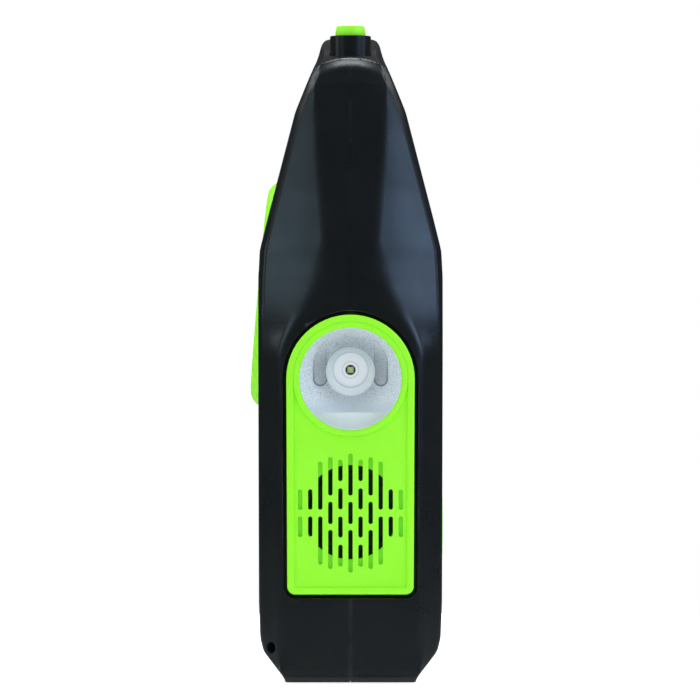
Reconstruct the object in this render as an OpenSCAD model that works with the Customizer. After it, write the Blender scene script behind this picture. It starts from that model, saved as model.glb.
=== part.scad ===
// Hand-crank emergency radio with an end lamp, a siren and a carrying handle.
// X runs along the casing with the lamp end at -X, -Y is the front, +Z is up.
// The origin is the middle of the flat base, on the parting plane of the casing.

/* [Casing] */
// Length from the lamp end to the port end
body_l = 210; // [206:1:216]
// Largest depth of the casing
body_d = 56.8; // [56.4:0.2:57.6]
// Height of the handle's crown
body_h = 202; // [202:0.5:204]
// Wall thickness of both shells
wall = 2.2; // [2:0.1:2.4]

/* [Handle] */
// Length of the hand hole
hole_l = 100; // [90:1:102]
// Height of the hand hole's lower edge
hole_z0 = 161.5; // [161:0.5:163]
// Height of the hand hole's upper edge
hole_z1 = 187.5; // [185:0.5:188]

/* [Lamp end] */
// Half width of the green lamp panel
panel_r = 19.6; // [19:0.1:20]
// Height of the lamp's centre
lamp_z = 92.6; // [92:0.1:93]
// Height of the siren's centre
siren_z = 51.9; // [51:0.1:53]
// Radius of the lamp's opening
lamp_r = 15.6; // [15:0.1:16]
// Rise of the LED above the lamp's centre
led_rise = 2.7; // [2:0.1:3]

/* [Crank] */
// Radius of the ribbed crank wheel
wheel_r = 37; // [36:0.1:37.2]
// Thickness of the crank wheel
wheel_t = 9.5; // [9.5:0.1:9.8]
// Height of the crank's axis at the wheel's outer face
crank_z = 120; // [119:0.5:120]
// Distance of the wheel's outer face from the parting plane
crank_y = 29.7; // [29.5:0.1:30.5]
// Tilt of the crank's axis above the horizontal
crank_tilt = 5; // [4:0.5:6]

/* [Front] */
// Centre of the front speaker along the casing
speaker_x = -48; // [-50:1:-46]
// Height of the front speaker's centre
speaker_z = 62; // [60:1:64]
// Centre of the display along the casing
display_x = 38; // [36:1:38]
// Height of the display's centre
display_z = 100; // [99:1:102]

/* [Antenna] */
// Place of the antenna along the casing
antenna_x = -74; // [-75:0.5:-73]
// Height of the antenna collar's top
collar_top = 197.5; // [197:0.1:198]

/* [Hidden] */
$fn = 64;
eps = 0.02;
run = 0.06;
end_x = body_l / 2;
half_d = body_d / 2;

// Half depth of the casing against height: base bevel, upright wall, straight taper, rounded crown
depth_line = [
    [0, 19.8], [2, 20.8], [9, 26.6], [13, 27.7], [24, half_d - 0.3], [124, half_d],
    [132, half_d - 0.4], [141, half_d - 2.6], [175, 17.1], [184, 13.5], [190, 11], [194, 9.8],
    [198, 9], [body_h, 7.4]
];
// Setback of the lamp and port ends against height: base radius, upright end, leaning shoulder
lean_line = [
    [0, 1.2], [2, 0], [112, 0], [122, 1], [134, 3], [150, 6.8], [168, 12], [184, 17], [188, 19.2],
    [190.8, 22]
];
crown_z = 190.8;
crown_x = end_x - 22;
outer_levels = [
    0, 2, 9, 13, 24, 100, 108, 116, 124, 132, 141, 150, 168, 175, 184, 188, 190.8, 194, 198, 200.6,
    body_h - eps
];
inner_levels = [wall, 9, 13, 24, 100, 108, 116, 124, 132, 141, 150, 168, 175, 184, 186.6];

// Lamp end's flat, wide below the lamp and a narrow ridge above it
flat_low = 21.3;
function ease(z, a, b) = let (u = min(1, max(0, (z - a) / (b - a)))) u * u * (3 - 2 * u);
function half_depth(z) = lookup(z, depth_line);
function half_length(z) = z <= crown_z ? end_x - lookup(z, lean_line)
    : crown_x * sqrt(max(0.002, (body_h - z) / (body_h - crown_z)));
function mix(a, b, k) = a + (b - a) * k;

// Quarter of the plan section at height z, inset by t: ridge edge, middle of the facet, crease, side
function quarter(z, t) = let (
        w = half_depth(z),
        k = ease(z, 98, 130),
        lx = half_length(z) - t,
        ridge = 5 + 6 * (z - 105) / 80,
        y1 = mix(min(flat_low, w - 0.4), min(ridge, w - 3), k) - 0.41 * t,
        run1 = mix(max(0.3, w - flat_low), 0.42 * (w - ridge), k),
        y3 = w - 0.7 - t
    ) [
        [lx, y1],
        [lx - mix(0.5, 0.42, k) * run1, (y1 + y3) / 2],
        [lx - run1 * 0.94, y3],
        [lx - run1 - mix(0.9, 2.2, k), w - t]
    ];
function section(z, t) = let (q = quarter(z, t), n = len(q) - 1) concat(
    [for (i = [0:n]) q[i]],
    [for (i = [n:-1:0]) [-q[i][0], q[i][1]]],
    [for (i = [0:n]) [-q[i][0], -q[i][1]]],
    [for (i = [n:-1:0]) [q[i][0], -q[i][1]]]
);

module casing_solid(levels, inset) {
    hull() for (z = levels) translate([0, 0, z]) linear_extrude(eps) polygon(section(z, inset));
}

// Outline of a rectangle with round corners, centred
function round_rect(w, h, r, n = 5) = [
    for (c = [[1, 1, 0], [-1, 1, 90], [-1, -1, 180], [1, -1, 270]]) for (i = [0:n])
        let (a = c[2] + 90 * i / n) [c[0] * (w / 2 - r) + r * cos(a), c[1] * (h / 2 - r) + r * sin(a)]
];
module round_box(w, h, r, t) {
    linear_extrude(t) polygon(round_rect(w, h, r));
}
// Frames whose local Z points out of the front, the back, the lamp end and the port end
module to_front(x, z, y = 0) {
    translate([x, y, z]) rotate([90, 0, 0]) children();
}
module to_back(x, z, y = 0) {
    translate([x, y, z]) rotate([-90, 0, 0]) children();
}
module to_lamp_end(z, x = 0, y = 0) {
    translate([x, y, z]) rotate([0, -90, 0]) rotate([0, 0, -90]) children();
}
module to_port_end(z, x = 0, y = 0) {
    translate([x, y, z]) rotate([0, 90, 0]) rotate([0, 0, 90]) children();
}
module on_crank() {
    translate([0, crank_y, crank_z]) rotate([-90 + crank_tilt, 0, 0]) children();
}

/* Casing */
seat_depth = 2.8;
seat_back = 2;
seat_gap = 1.1;
panel_bottom = 26.8;
baffle_r = 14.4;
screw_places = [[-92, 22], [92, 22], [-90, 128], [90, 128], [-60, 172], [60, 172]];
boss_r = 3.8;
door_w = 65.2;
door_h = 39.2;
door_face = 28.1;
door_t = 1.8;
door_axis_y = 27.1;
door_axis_z = 21.4;
port_panel_z = 74;
port_panel_w = 30;
port_panel_h = 52;

// Arched outline of the lamp panel, grown by g
function arch(g, n = 24) = concat(
    [for (i = [0:n]) let (a = 180 * i / n) [(panel_r + g) * cos(a), lamp_z + (panel_r + g) * sin(a)]],
    [for (c = [[-1, 180], [1, 270]]) for (i = [0:4]) let (a = c[1] + 90 * i / 4, r = 2.5 + g)
        [c[0] * (panel_r - 2.8) + r * cos(a), panel_bottom + 2.5 + r * sin(a)]]
);
module hand_hole(grow, depth) {
    translate([0, 0, (hole_z0 + hole_z1) / 2]) rotate([90, 0, 0]) translate([0, 0, -depth / 2])
        round_box(hole_l + 2 * grow, hole_z1 - hole_z0 + 2 * grow, 10 + grow, depth);
}
module crank_cup(r, floor_z) {
    on_crank() translate([0, 0, floor_z]) cylinder(r = r, h = 40);
}
solar_w = 104;
solar_h = 24;
solar_t = 1.8;
solar_z = 141.2;
module on_slope() {
    translate([0, -(half_d - 2.75), solar_z]) rotate([90 - 14.4, 0, 0]) children();
}
// Box behind the solar panel's face, grown by g on every side
module solar_block(g, h) {
    translate([-solar_w / 2 - g, -solar_h / 2 - g, -solar_t - floor(g)])
        cube([solar_w + 2 * g, solar_h + 2 * g, h]);
}
knob_places = [[20, 44], [58, 44]];
knob_r = 13;
knob_well = 6;
key_places = [10, 24, 38, 52, 66];
key_z = 74;
key_r = 4.4;
strap_r = 1.9;

// Blocks and bosses that stand inside the skin and are trimmed to the casing's outline
module inner_features() {
    to_lamp_end(0, -end_x + seat_depth + seat_back) linear_extrude(seat_back + 1) polygon(arch(2.6));
    to_port_end(port_panel_z, end_x - seat_depth - seat_back)
        round_box(port_panel_w + 5, port_panel_h + 5, 5, seat_back + 1);
    for (p = screw_places) translate([p[0], 40, p[1]]) rotate([90, 0, 0]) cylinder(r = boss_r, h = 80);
    for (p = knob_places) to_front(p[0], p[1], -half_d + knob_well + 1.8) cylinder(r = knob_r + 3, h = 20);
    crank_cup(wheel_r + 3.4, -wheel_t - 2.3);
    on_slope() solar_block(2, 9);
    translate([-end_x, 19.5, 0]) cube([16, 20, 16]);
}
// Two short bores that meet inside the corner and leave a bar for a strap
module strap_bore() {
    translate([-end_x + 3.1, 24.4, 10.4]) rotate([0, 0, -45]) rotate([0, 90, 0])
        translate([0, 0, -3]) cylinder(r = strap_r, h = 11);
    translate([-end_x + 9.2, 23.3, 4.4]) rotate([52, 0, 0])
        translate([0, 0, -4]) cylinder(r = strap_r, h = 11);
}
// Closed casing before it is parted at Y = 0
module casing() {
    difference() {
        casing_solid(outer_levels, 0);
        difference() {
            casing_solid(inner_levels, wall);
            hand_hole(wall, 80);
            inner_features();
        }
        hand_hole(0, 80);
        to_lamp_end(0, -end_x + seat_depth) linear_extrude(6) polygon(arch(seat_gap));
        to_lamp_end(lamp_z, -end_x + 8) cylinder(r = 17.6, h = 10);
        to_lamp_end(siren_z, -end_x + 8) cylinder(r = baffle_r, h = 10);
        to_port_end(port_panel_z, end_x - seat_depth)
            round_box(port_panel_w + 0.6, port_panel_h + 0.6, 3.3, 6);
        to_port_end(68, end_x - 8) round_box(13, 10, 1, 10);
        to_port_end(88, end_x - 8) cylinder(r = 4.3, h = 10);
        translate([0, 0, -1]) round_box(120.4, 30.4, 6.2, 2.2);
        strap_bore();
    }
}
module half_space(side) {
    translate([-150, side < 0 ? -80 : 0, -5]) cube([300, 80, 260]);
}

module antenna_well() {
    translate([antenna_x, 0, 60]) cylinder(r = 4.6, h = 150);
    translate([antenna_x, 0, crown_z - 0.15]) cylinder(r = 6.45, h = 40);
}

module front_shell() {
    color("#15191b") difference() {
        intersection() {
            casing();
            half_space(-1);
        }
        for (p = screw_places) to_front(p[0], p[1], 1) cylinder(r = 1.45, h = 13);
        to_front(speaker_x, speaker_z, -10) cylinder(r = 29.6, h = 30);
        to_front(display_x, display_z, -10) round_box(58, 22, 1.5, 30);
        to_front(display_x, display_z, -half_d + 1.3) round_box(66.3, 28.3, 3, 5);
        for (x = key_places) to_front(x, key_z, -10) cylinder(r = key_r + 0.2, h = 30);
        for (p = knob_places) {
            to_front(p[0], p[1], -half_d + knob_well) cylinder(r = knob_r + 1.2, h = 20);
            to_front(p[0], p[1], -10) cylinder(r = 3.6, h = 30);
        }
        on_slope() solar_block(0.2, 12);
        antenna_well();
    }
}
module rear_shell() {
    color("#15191b") difference() {
        intersection() {
            casing();
            half_space(1);
        }
        for (p = screw_places) {
            to_back(p[0], p[1], -1) cylinder(r = 1.6, h = 20);
            to_back(p[0], p[1], 8) cylinder(r = 2.6, h = 30);
        }
        crank_cup(wheel_r + 1.2, -wheel_t - 0.3);
        on_crank() translate([0, 0, -30]) cylinder(r = 3 + run, h = 30);
        translate([-door_w / 2 - 0.3, 20, door_axis_z - 1.4]) cube([door_w + 0.6, 15, door_h + 0.7]);
        translate([-door_w / 2 - 2.2, door_axis_y, door_axis_z]) rotate([0, 90, 0])
            cylinder(r = 0.7, h = door_w + 4.4);
        antenna_well();
    }
}
module base_pad() {
    color("#26292b") round_box(120, 30, 6, 1.2);
}
module shell_screws() {
    color("silver") for (p = screw_places) {
        to_front(p[0], p[1], 8) cylinder(r = 1.4, h = 19);
        difference() {
            to_back(p[0], p[1], 8) cylinder(r1 = 2.5, r2 = 2.1, h = 1.8);
            to_back(p[0], p[1], 9) cylinder(r = 1.2, h = 2, $fn = 6);
        }
    }
}
module battery_door() {
    color("#15191b") difference() {
        union() {
            translate([-door_w / 2, door_face - door_t, door_axis_z]) cube([door_w, door_t, door_h - 1.4]);
            translate([-door_w / 2, door_axis_y, door_axis_z]) rotate([0, 90, 0]) cylinder(r = 1, h = door_w);
            translate([-door_w / 2 - 1.8, door_axis_y, door_axis_z]) rotate([0, 90, 0])
                cylinder(r = 0.64, h = door_w + 3.6);
        }
        for (i = [0:4]) translate([-9, door_face - 0.5, door_axis_z + door_h - 12 + 1.8 * i])
            cube([18, 2, 0.8]);
    }
}

/* Lamp panel */
slot_pitch = 3.07;
slot_w = 1.1;
slot_cut = 1.4;
// Lower and upper ends of the slots in one half of each column, from the middle column outwards
slot_columns = [
    [[5.1, 17.9], [-3.6, 3.2], [-18.3, -5.4]],
    [[9.5, 16], [0.9, 7.3], [-7.7, -1.3], [-16.5, -9.9]],
    [[5.1, 16.8], [-3.6, 3.2], [-17.2, -5.4]],
    [[0.8, 15.4], [-15.9, -1.3]],
    [[0.8, 7], [-7.4, -1.3]],
    [[0.8, 6.9], [-7.5, -1.3]]
];
module siren_slots(depth) {
    for (c = [0:5]) for (side = c == 0 ? [1] : [-1, 1]) for (s = slot_columns[c])
        translate([side * c * slot_pitch, (s[0] + s[1]) / 2, -depth])
            round_box(slot_w, s[1] - s[0], slot_w / 2 - 0.01, 5);
}
module lamp_panel() {
    face = end_x - 0.2;
    color("#9af83e") difference() {
        union() {
            to_lamp_end(0, -end_x + seat_depth) linear_extrude(seat_depth - 0.2) polygon(arch(0));
            to_lamp_end(0, -end_x + seat_depth) linear_extrude(seat_depth + 0.6) difference() {
                polygon(arch(0));
                polygon(arch(-2.2));
            }
            to_lamp_end(lamp_z, -end_x + seat_depth) cylinder(r = 17.5, h = seat_depth + 0.7);
        }
        to_lamp_end(lamp_z, -end_x + 6) cylinder(r = lamp_r, h = 12);
        to_lamp_end(lamp_z, -end_x + 6) cylinder(r = 16.8, h = 4.8);
        to_lamp_end(siren_z, -face) siren_slots(slot_cut);
        to_lamp_end(siren_z, -end_x + seat_depth + 1) cylinder(r = baffle_r, h = 2.3);
    }
}

/* Lamp */
lens_x = -end_x + seat_depth;
led_z = lamp_z + led_rise;
module lamp_lens() {
    color([0.9, 0.95, 1, 0.4]) to_lamp_end(lamp_z, lens_x - 0.05) cylinder(r = 16.7, h = 1.4);
}
// Dish radius against depth behind its rim
dish_line = [[0, 12.75], [2, 12.4], [4.5, 11.8], [7.5, 10.5], [10.5, 8.7], [13, 6.6], [15.4, 6.6]];
module lamp_reflector() {
    color("#bbcddc") difference() {
        to_lamp_end(lamp_z, lens_x + 16) cylinder(r = 17.3, h = 16 - 0.1);
        to_lamp_end(lamp_z, lens_x + 1.2) cylinder(r = lamp_r, h = 4);
        to_lamp_end(led_z, lens_x + 1.2) rotate_extrude()
            polygon(concat([for (p = dish_line) [p[1], -p[0]]], [[0, -15.4], [0, 0]]));
    }
}
holder_x = lens_x + 16;
module led_holder() {
    color("white") difference() {
        union() {
            to_lamp_end(led_z, holder_x - 0.4) cylinder(r = 6.3, h = 5);
            to_lamp_end(led_z, holder_x - 5) cylinder(r1 = 6.3, r2 = 7.6, h = 3.2);
            to_lamp_end(led_z, holder_x - 8.2) cylinder(r = 7.6, h = 1.4);
        }
        to_lamp_end(led_z, holder_x - 8.8) cylinder(r = 5.4, h = 4);
        to_lamp_end(led_z, holder_x + 1) cylinder(r = 1.5, h = 12);
        to_lamp_end(led_z, holder_x + 1) cylinder(r = 2.6, h = 9);
    }
}
module led_emitter() {
    color("#b2c98d") to_lamp_end(led_z, holder_x - 7) {
        translate([-1.7, -1.7, 0]) cube([3.4, 3.4, 0.7]);
        translate([-0.85, -0.85, 0.7]) cube([1.7, 1.7, 0.3]);
    }
}
module led_board() {
    color("gainsboro") {
        to_lamp_end(led_z, holder_x + 1.8) cylinder(r = 9, h = 1.6);
        to_lamp_end(led_z, holder_x + 0.3) cylinder(r = 2.45, h = 7.3);
    }
}

/* Speakers */
// Round loudspeaker facing local +Z with its flange's front at Z = 0
module driver_frame(r, d) {
    difference() {
        rotate_extrude() polygon([
            [r, 0], [r, -1.5], [r - 2.5, -1.5], [r * 0.52, -d], [0, -d], [0, -d + 1], [r * 0.52 - 1, -d + 1],
            [r - 4, -1.2], [r - 4, 0]
        ]);
        translate([0, 0, -d - 1]) cylinder(r = r * 0.22, h = 3);
    }
}
module driver_cone(r, d) {
    rotate_extrude() polygon([
        [r - 4.4, -0.1], [r - 4.4, -1], [r * 0.3, -d * 0.62], [0, -d * 0.5], [0, -d * 0.5 + 0.6],
        [r * 0.3, -d * 0.62 + 0.7], [r - 6, -0.4]
    ]);
}
module driver_magnet(r, d, h) {
    translate([0, 0, -d - h]) cylinder(r = r, h = h - 0.05);
}
siren_face = -end_x + seat_depth + seat_back;
module siren_frame() {
    color("#2b2e30") to_lamp_end(siren_z, siren_face) driver_frame(16.6, 7.5);
}
module siren_cone() {
    color("#3a3d40") to_lamp_end(siren_z, siren_face) driver_cone(16.6, 7.5);
}
module siren_magnet() {
    color("silver") to_lamp_end(siren_z, siren_face) driver_magnet(8, 7.5, 4);
}
grille_r = 29.3;
speaker_face = -half_d + wall + 0.4;
module speaker_grille() {
    color("#1d2123") difference() {
        to_front(speaker_x, speaker_z, speaker_face - 0.1) cylinder(r = grille_r, h = 2.3);
        for (ring = [1:4]) for (i = [0:ring * 6 - 1]) to_front(speaker_x, speaker_z, speaker_face + 1)
            rotate([0, 0, i * 60 / ring]) translate([ring * 5.8, 0, 0]) cylinder(r = 1.7, h = 6);
        to_front(speaker_x, speaker_z, speaker_face + 1) cylinder(r = 1.7, h = 6);
    }
}
module speaker_frame() {
    color("#2b2e30") to_front(speaker_x, speaker_z, speaker_face) driver_frame(29, 15);
}
module speaker_cone() {
    color("#33373a") to_front(speaker_x, speaker_z, speaker_face) driver_cone(29, 15);
}
module speaker_magnet() {
    color("silver") to_front(speaker_x, speaker_z, speaker_face) driver_magnet(15, 15, 7);
}

/* Front controls */
board_y = -13;
module display_window() {
    color("#101416") to_front(display_x, display_z, -half_d + 1.25) round_box(66, 28, 2.8, 1.25);
}
module lcd_module() {
    color("#7f8f78") to_front(display_x, display_z, board_y - 1.7)
        translate([-30, -12, 0]) cube([60, 24, 9]);
}
module main_board() {
    color("#1f5a3a") difference() {
        translate([-6, board_y - 1.6, 24]) cube([93, 1.6, 92]);
        for (p = knob_places) to_front(p[0], p[1], 0) cylinder(r = 3.6, h = 30);
    }
}
module knob() {
    difference() {
        intersection() {
            linear_extrude(7.6) polygon([for (i = [0:71]) let (r = knob_r - (i % 2) * 0.5)
                [r * cos(i * 5), r * sin(i * 5)]]);
            rotate_extrude() polygon([
                [0, -1], [knob_r + 1, -1], [knob_r + 1, 5.4], [knob_r - 1.4, 7.8], [0, 7.8]
            ]);
        }
        translate([0, 0, 6.9]) cylinder(r = 9.4, h = 2);
        translate([-0.6, 6, 6.3]) cube([1.2, 6.4, 2]);
    }
    translate([0, 0, -14]) cylinder(r = 3, h = 15);
}
module tuning_knob() {
    color("#9af83e") to_front(knob_places[0][0], knob_places[0][1], -half_d + knob_well - 0.3) knob();
}
module volume_knob() {
    color("#9af83e") to_front(knob_places[1][0], knob_places[1][1], -half_d + knob_well - 0.3) knob();
}
module rotary_part(p, depth) {
    difference() {
        to_front(p[0], p[1], board_y + depth) translate([-7, -7, 0]) cube([14, 14, depth]);
        to_front(p[0], p[1], board_y + depth + 1) cylinder(r = 3 + run, h = depth + 4);
    }
}
module tuning_encoder() {
    color("gainsboro") rotary_part(knob_places[0], 6);
}
module volume_pot() {
    color("gainsboro") rotary_part(knob_places[1], 7);
}
module key(i) {
    color("#c9d0d4") {
        to_front(key_places[i], key_z, -half_d + wall + 0.1) cylinder(r = key_r, h = 3.3);
        to_front(key_places[i], key_z, -half_d + wall + 1.5) cylinder(r = 5.6, h = 1.3);
        to_front(key_places[i], key_z, board_y - 3) cylinder(r = 1.5, h = 10.4);
    }
}
module key_power() { key(0); }
module key_band() { key(1); }
module key_scan() { key(2); }
module key_lamp() { key(3); }
module key_siren() { key(4); }

/* Power */
cell_r = 5.25;
cell_places = [28, 39.6, 51.2];
cell_y = 18.8;
module battery_tray() {
    color("#202426") difference() {
        translate([-31, 11, 21.5]) cube([62, 14.6, 36.5]);
        for (z = cell_places) translate([-27, cell_y, z]) rotate([0, 90, 0])
            cylinder(r = cell_r + 0.3, h = 54);
        translate([-27, cell_y, 22.4]) cube([54, 10, 34.6]);
    }
}
module battery_cells() {
    color("#c7b25a") for (z = cell_places) translate([0, cell_y, z]) rotate([0, 90, 0]) {
        translate([0, 0, -22]) cylinder(r = cell_r, h = 44);
        translate([0, 0, 22]) cylinder(r = 1.9, h = 1);
    }
}
module lithium_cell() {
    color("steelblue") translate([60, 8, 26]) {
        cylinder(r = 9.2, h = 64.5);
        translate([0, 0, 64.5]) cylinder(r = 4, h = 0.6);
    }
}
module solar_panel() {
    color("#141a33") on_slope() translate([-solar_w / 2, -solar_h / 2, -solar_t + 0.05])
        cube([solar_w, solar_h, solar_t]);
}

/* Crank and dynamo */
rib_count = 24;
grip_y = 13;
grip_x = 21.5;
grip_drop = -4.5;
grip_r = 3.8;
gear_m = 0.8;
fine_m = 0.6;
drive_teeth = 54;
idler_pinion_teeth = 14;
idler_teeth = 42;
rotor_teeth = 12;
idler_x = -(drive_teeth + idler_pinion_teeth) * gear_m / 2;
rotor_y = (idler_teeth + rotor_teeth) * fine_m / 2;
stage_1 = -wheel_t - 6.1;
stage_2 = stage_1 - 4.2;
plate_z = stage_2 - 2.2;

// One tooth as parts of the pitch and modules from the pitch circle
tooth = [[-0.3, -1.2], [-0.2, 0], [-0.09, 0.9], [0.09, 0.9], [0.2, 0], [0.3, -1.2]];
// Toothed outline with straight flanks and about a tenth of a pitch of backlash
function gear_outline(teeth, m, phase) = [
    for (i = [0:teeth - 1]) for (p = tooth)
        let (a = phase + (i + p[0]) * 360 / teeth, r = (teeth / 2 + p[1]) * m) [r * cos(a), r * sin(a)]
];
module crank_wheel() {
    color("#9af83e") on_crank() difference() {
        intersection() {
            translate([0, 0, -wheel_t]) linear_extrude(wheel_t) polygon([for (i = [0:rib_count - 1])
                for (p = [[-0.3, -1.5], [-0.2, 0], [0.2, 0], [0.3, -1.5]])
                    let (a = (i + p[0]) * 360 / rib_count, r = wheel_r + p[1]) [r * cos(a), r * sin(a)]]);
            rotate_extrude() polygon([
                [0, -wheel_t - 1], [wheel_r + 1, -wheel_t - 1], [wheel_r + 1, -7.4], [wheel_r - 1.6, -2.4],
                [wheel_r - 5.2, 0.5], [0, 0.5]
            ]);
        }
        translate([-24, grip_y - 4.7, -wheel_t + 0.9]) cube([50, 9.4, 20]);
        translate([grip_x, grip_y + 7.6, grip_drop]) rotate([90, 0, 0]) cylinder(r = 1.27, h = 15.2);
        translate([0, 0, -wheel_t - 1]) cylinder(r = 3.02, h = wheel_t - 1);
    }
}
module crank_shaft() {
    color("silver") on_crank() translate([0, 0, plate_z - 1.6]) cylinder(r = 3, h = -plate_z - 0.6);
}
module drive_gear() {
    color("ivory") on_crank() difference() {
        translate([0, 0, stage_1]) linear_extrude(3) polygon(gear_outline(drive_teeth, gear_m, 0));
        translate([0, 0, stage_1 - 1]) cylinder(r = 3.02, h = 6);
        for (i = [0:5]) rotate([0, 0, 30 + 60 * i]) translate([12.5, 0, stage_1 - 1]) cylinder(r = 4, h = 6);
    }
}
module grip_pin() {
    color("silver") on_crank() translate([grip_x, grip_y + 7.5, grip_drop]) rotate([90, 0, 0])
        cylinder(r = 1.25, h = 15);
}
module grip_core() {
    color("#2a2e30") on_crank() translate([grip_x, grip_y, grip_drop]) difference() {
        union() {
            translate([0, 4.4, 0]) rotate([90, 0, 0]) cylinder(r = grip_r, h = 8.8);
            translate([-6.2, 0, 0]) rotate([0, 90, 0]) cylinder(r = 3.4, h = 5);
            translate([-42, 0, 0]) rotate([0, 90, 0]) cylinder(r = 1.8, h = 40);
            translate([-43.4, 0, 0]) rotate([0, 90, 0]) cylinder(r = 3.2, h = 1.6);
        }
        translate([0, 6, 0]) rotate([90, 0, 0]) cylinder(r = 1.25 + run, h = 12);
    }
}
module grip_sleeve() {
    color("#15191b") on_crank() translate([grip_x, grip_y, grip_drop]) rotate([0, -90, 0]) difference() {
        translate([0, 0, 6.4]) rotate_extrude() polygon([
            [1.8 + run, 0], [3.3, 0], [grip_r, 2], [grip_r - 0.3, 17], [grip_r, 33], [3.3, 35.2],
            [1.8 + run, 35.2]
        ]);
        for (i = [0:5]) translate([0, 0, 11 + 5 * i]) rotate_extrude()
            translate([grip_r + 0.1, 0]) circle(r = 0.5);
    }
}
module idler_gear() {
    color("ivory") on_crank() translate([idler_x, 0, 0]) difference() {
        union() {
            translate([0, 0, stage_2]) linear_extrude(3.2)
                polygon(gear_outline(idler_teeth, fine_m, 180 / idler_teeth));
            translate([0, 0, stage_2 + 1]) linear_extrude(6.4)
                polygon(gear_outline(idler_pinion_teeth, gear_m, 180 / idler_pinion_teeth));
        }
        translate([0, 0, stage_2 - 1]) cylinder(r = 1.5 + run, h = 12);
    }
}
module generator_rotor() {
    color("goldenrod") on_crank() translate([idler_x, rotor_y, 0]) {
        translate([0, 0, stage_2]) linear_extrude(3.2)
            polygon(gear_outline(rotor_teeth, fine_m, 180 / rotor_teeth));
        translate([0, 0, plate_z - 10]) cylinder(r = 1, h = 13);
    }
}
module generator_body() {
    color("silver") on_crank() translate([idler_x, rotor_y, plate_z - 16]) difference() {
        union() {
            cylinder(r = 12, h = 14.4);
            cylinder(r = 4, h = 15.9);
        }
        translate([0, 0, 4]) cylinder(r = 1 + run, h = 20);
    }
}
plate_outline = [[30, -12], [13, -29], [-26, -25], [-43, -8], [-43, 28], [-12, 31], [14, 29], [30, 12]];
module gear_plate() {
    color("gainsboro") on_crank() {
        difference() {
            translate([0, 0, plate_z - 1.5]) linear_extrude(1.5)
                polygon(plate_outline);
            translate([0, 0, plate_z - 3]) cylinder(r = 3 + run, h = 6);
            translate([idler_x, rotor_y, plate_z - 3]) cylinder(r = 4.3, h = 6);
        }
        translate([idler_x, 0, plate_z - 0.5]) cylinder(r = 1.5, h = 9.6);
        for (p = [[25.5, -8], [9, -25.5], [10, 25.5], [-22, -20]])
            translate([p[0], p[1], plate_z - 0.5]) cylinder(r = 2.2, h = -wheel_t - 2.4 - plate_z + 0.5);
    }
}

/* Antenna */
tube_z0 = 72;
module ring_tube(r_out, r_in, h) {
    difference() {
        cylinder(r = r_out, h = h);
        translate([0, 0, -1]) cylinder(r = r_in, h = h + 2);
    }
}
module antenna_collar() {
    color("#101416") translate([antenna_x, 0, 0]) difference() {
        union() {
            translate([0, 0, 180]) cylinder(r = 4.5, h = 15);
            translate([0, 0, crown_z - 0.1]) cylinder(r = 6.25, h = collar_top - crown_z + 0.1);
        }
        translate([0, 0, 170]) cylinder(r = 3.05, h = 40);
    }
}
module antenna_tube() {
    color("silver") translate([antenna_x, 0, tube_z0]) ring_tube(3, 2.7, collar_top - tube_z0);
}
module antenna_section_2() {
    color("silver") translate([antenna_x, 0, tube_z0 + 1]) ring_tube(2.65, 2.35, collar_top - tube_z0 - 1.1);
}
module antenna_section_3() {
    color("silver") translate([antenna_x, 0, tube_z0 + 2]) ring_tube(2.3, 2, collar_top - tube_z0 - 2.2);
}
module antenna_rod() {
    color("silver") translate([antenna_x, 0, tube_z0 + 3]) cylinder(r = 1.95, h = collar_top - tube_z0 - 1.5);
}
module antenna_tip() {
    color("#abf652") translate([antenna_x, 0, collar_top + 0.05]) difference() {
        rotate_extrude() polygon([[0, 0], [4.6, 0], [4.6, 1.2], [4.1, 2.7], [3.6, 3.1], [0, 3.1]]);
        translate([0, 0, -1]) cylinder(r = 2, h = 2.6);
    }
}
module ferrite_rod() {
    color("#3b3b3d") translate([-42, -4, 149]) rotate([0, 90, 0]) cylinder(r = 4, h = 100);
}
module ferrite_coil() {
    color("#b06a35") translate([20, -4, 149]) rotate([0, 90, 0]) ring_tube(5, 4.1, 18);
}

/* Ports */
flap_x = 104.1;
flap_axis_x = 104.85;
flap_axis_z = 59.6;
module port_panel() {
    x0 = end_x - seat_depth;
    color("#9af83e") difference() {
        to_port_end(port_panel_z, x0) round_box(port_panel_w, port_panel_h, 3, seat_depth + 0.6);
        translate([flap_x - 0.1, -8.5, flap_axis_z - 1.05]) cube([10, 17, 17.2]);
        translate([flap_axis_x, -9.5, flap_axis_z]) rotate([-90, 0, 0]) cylinder(r = 0.52, h = 19);
        to_port_end(68, x0 - 1) round_box(9.4, 4, 0.8, 8);
        to_port_end(88, x0 - 1) cylinder(r = 3.1, h = 8);
    }
}
module port_cover() {
    color("#26292b") {
        translate([flap_x, -8.2, flap_axis_z]) cube([1.5, 16.4, 15.7]);
        translate([flap_axis_x, -8.2, flap_axis_z]) rotate([-90, 0, 0]) cylinder(r = 0.75, h = 16.4);
        translate([flap_axis_x, -9.3, flap_axis_z]) rotate([-90, 0, 0]) cylinder(r = 0.47, h = 18.6);
    }
}
module audio_jack() {
    color("#2b2e30") to_port_end(88, 0) difference() {
        union() {
            translate([-4, -4, 88]) cube([8, 8, end_x - seat_depth - seat_back - 88.1]);
            translate([0, 0, 90]) cylinder(r = 3, h = end_x + 0.5 - 90);
        }
        translate([0, 0, end_x + 0.5 - 14]) cylinder(r = 1.8, h = 20);
    }
}
module usb_socket() {
    color("silver") to_port_end(68, 0) difference() {
        translate([0, 0, 95]) round_box(9, 3.4, 0.7, flap_x - 0.4 - 95);
        translate([0, 0, 96]) round_box(8.4, 2.8, 0.5, 20);
    }
}

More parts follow.
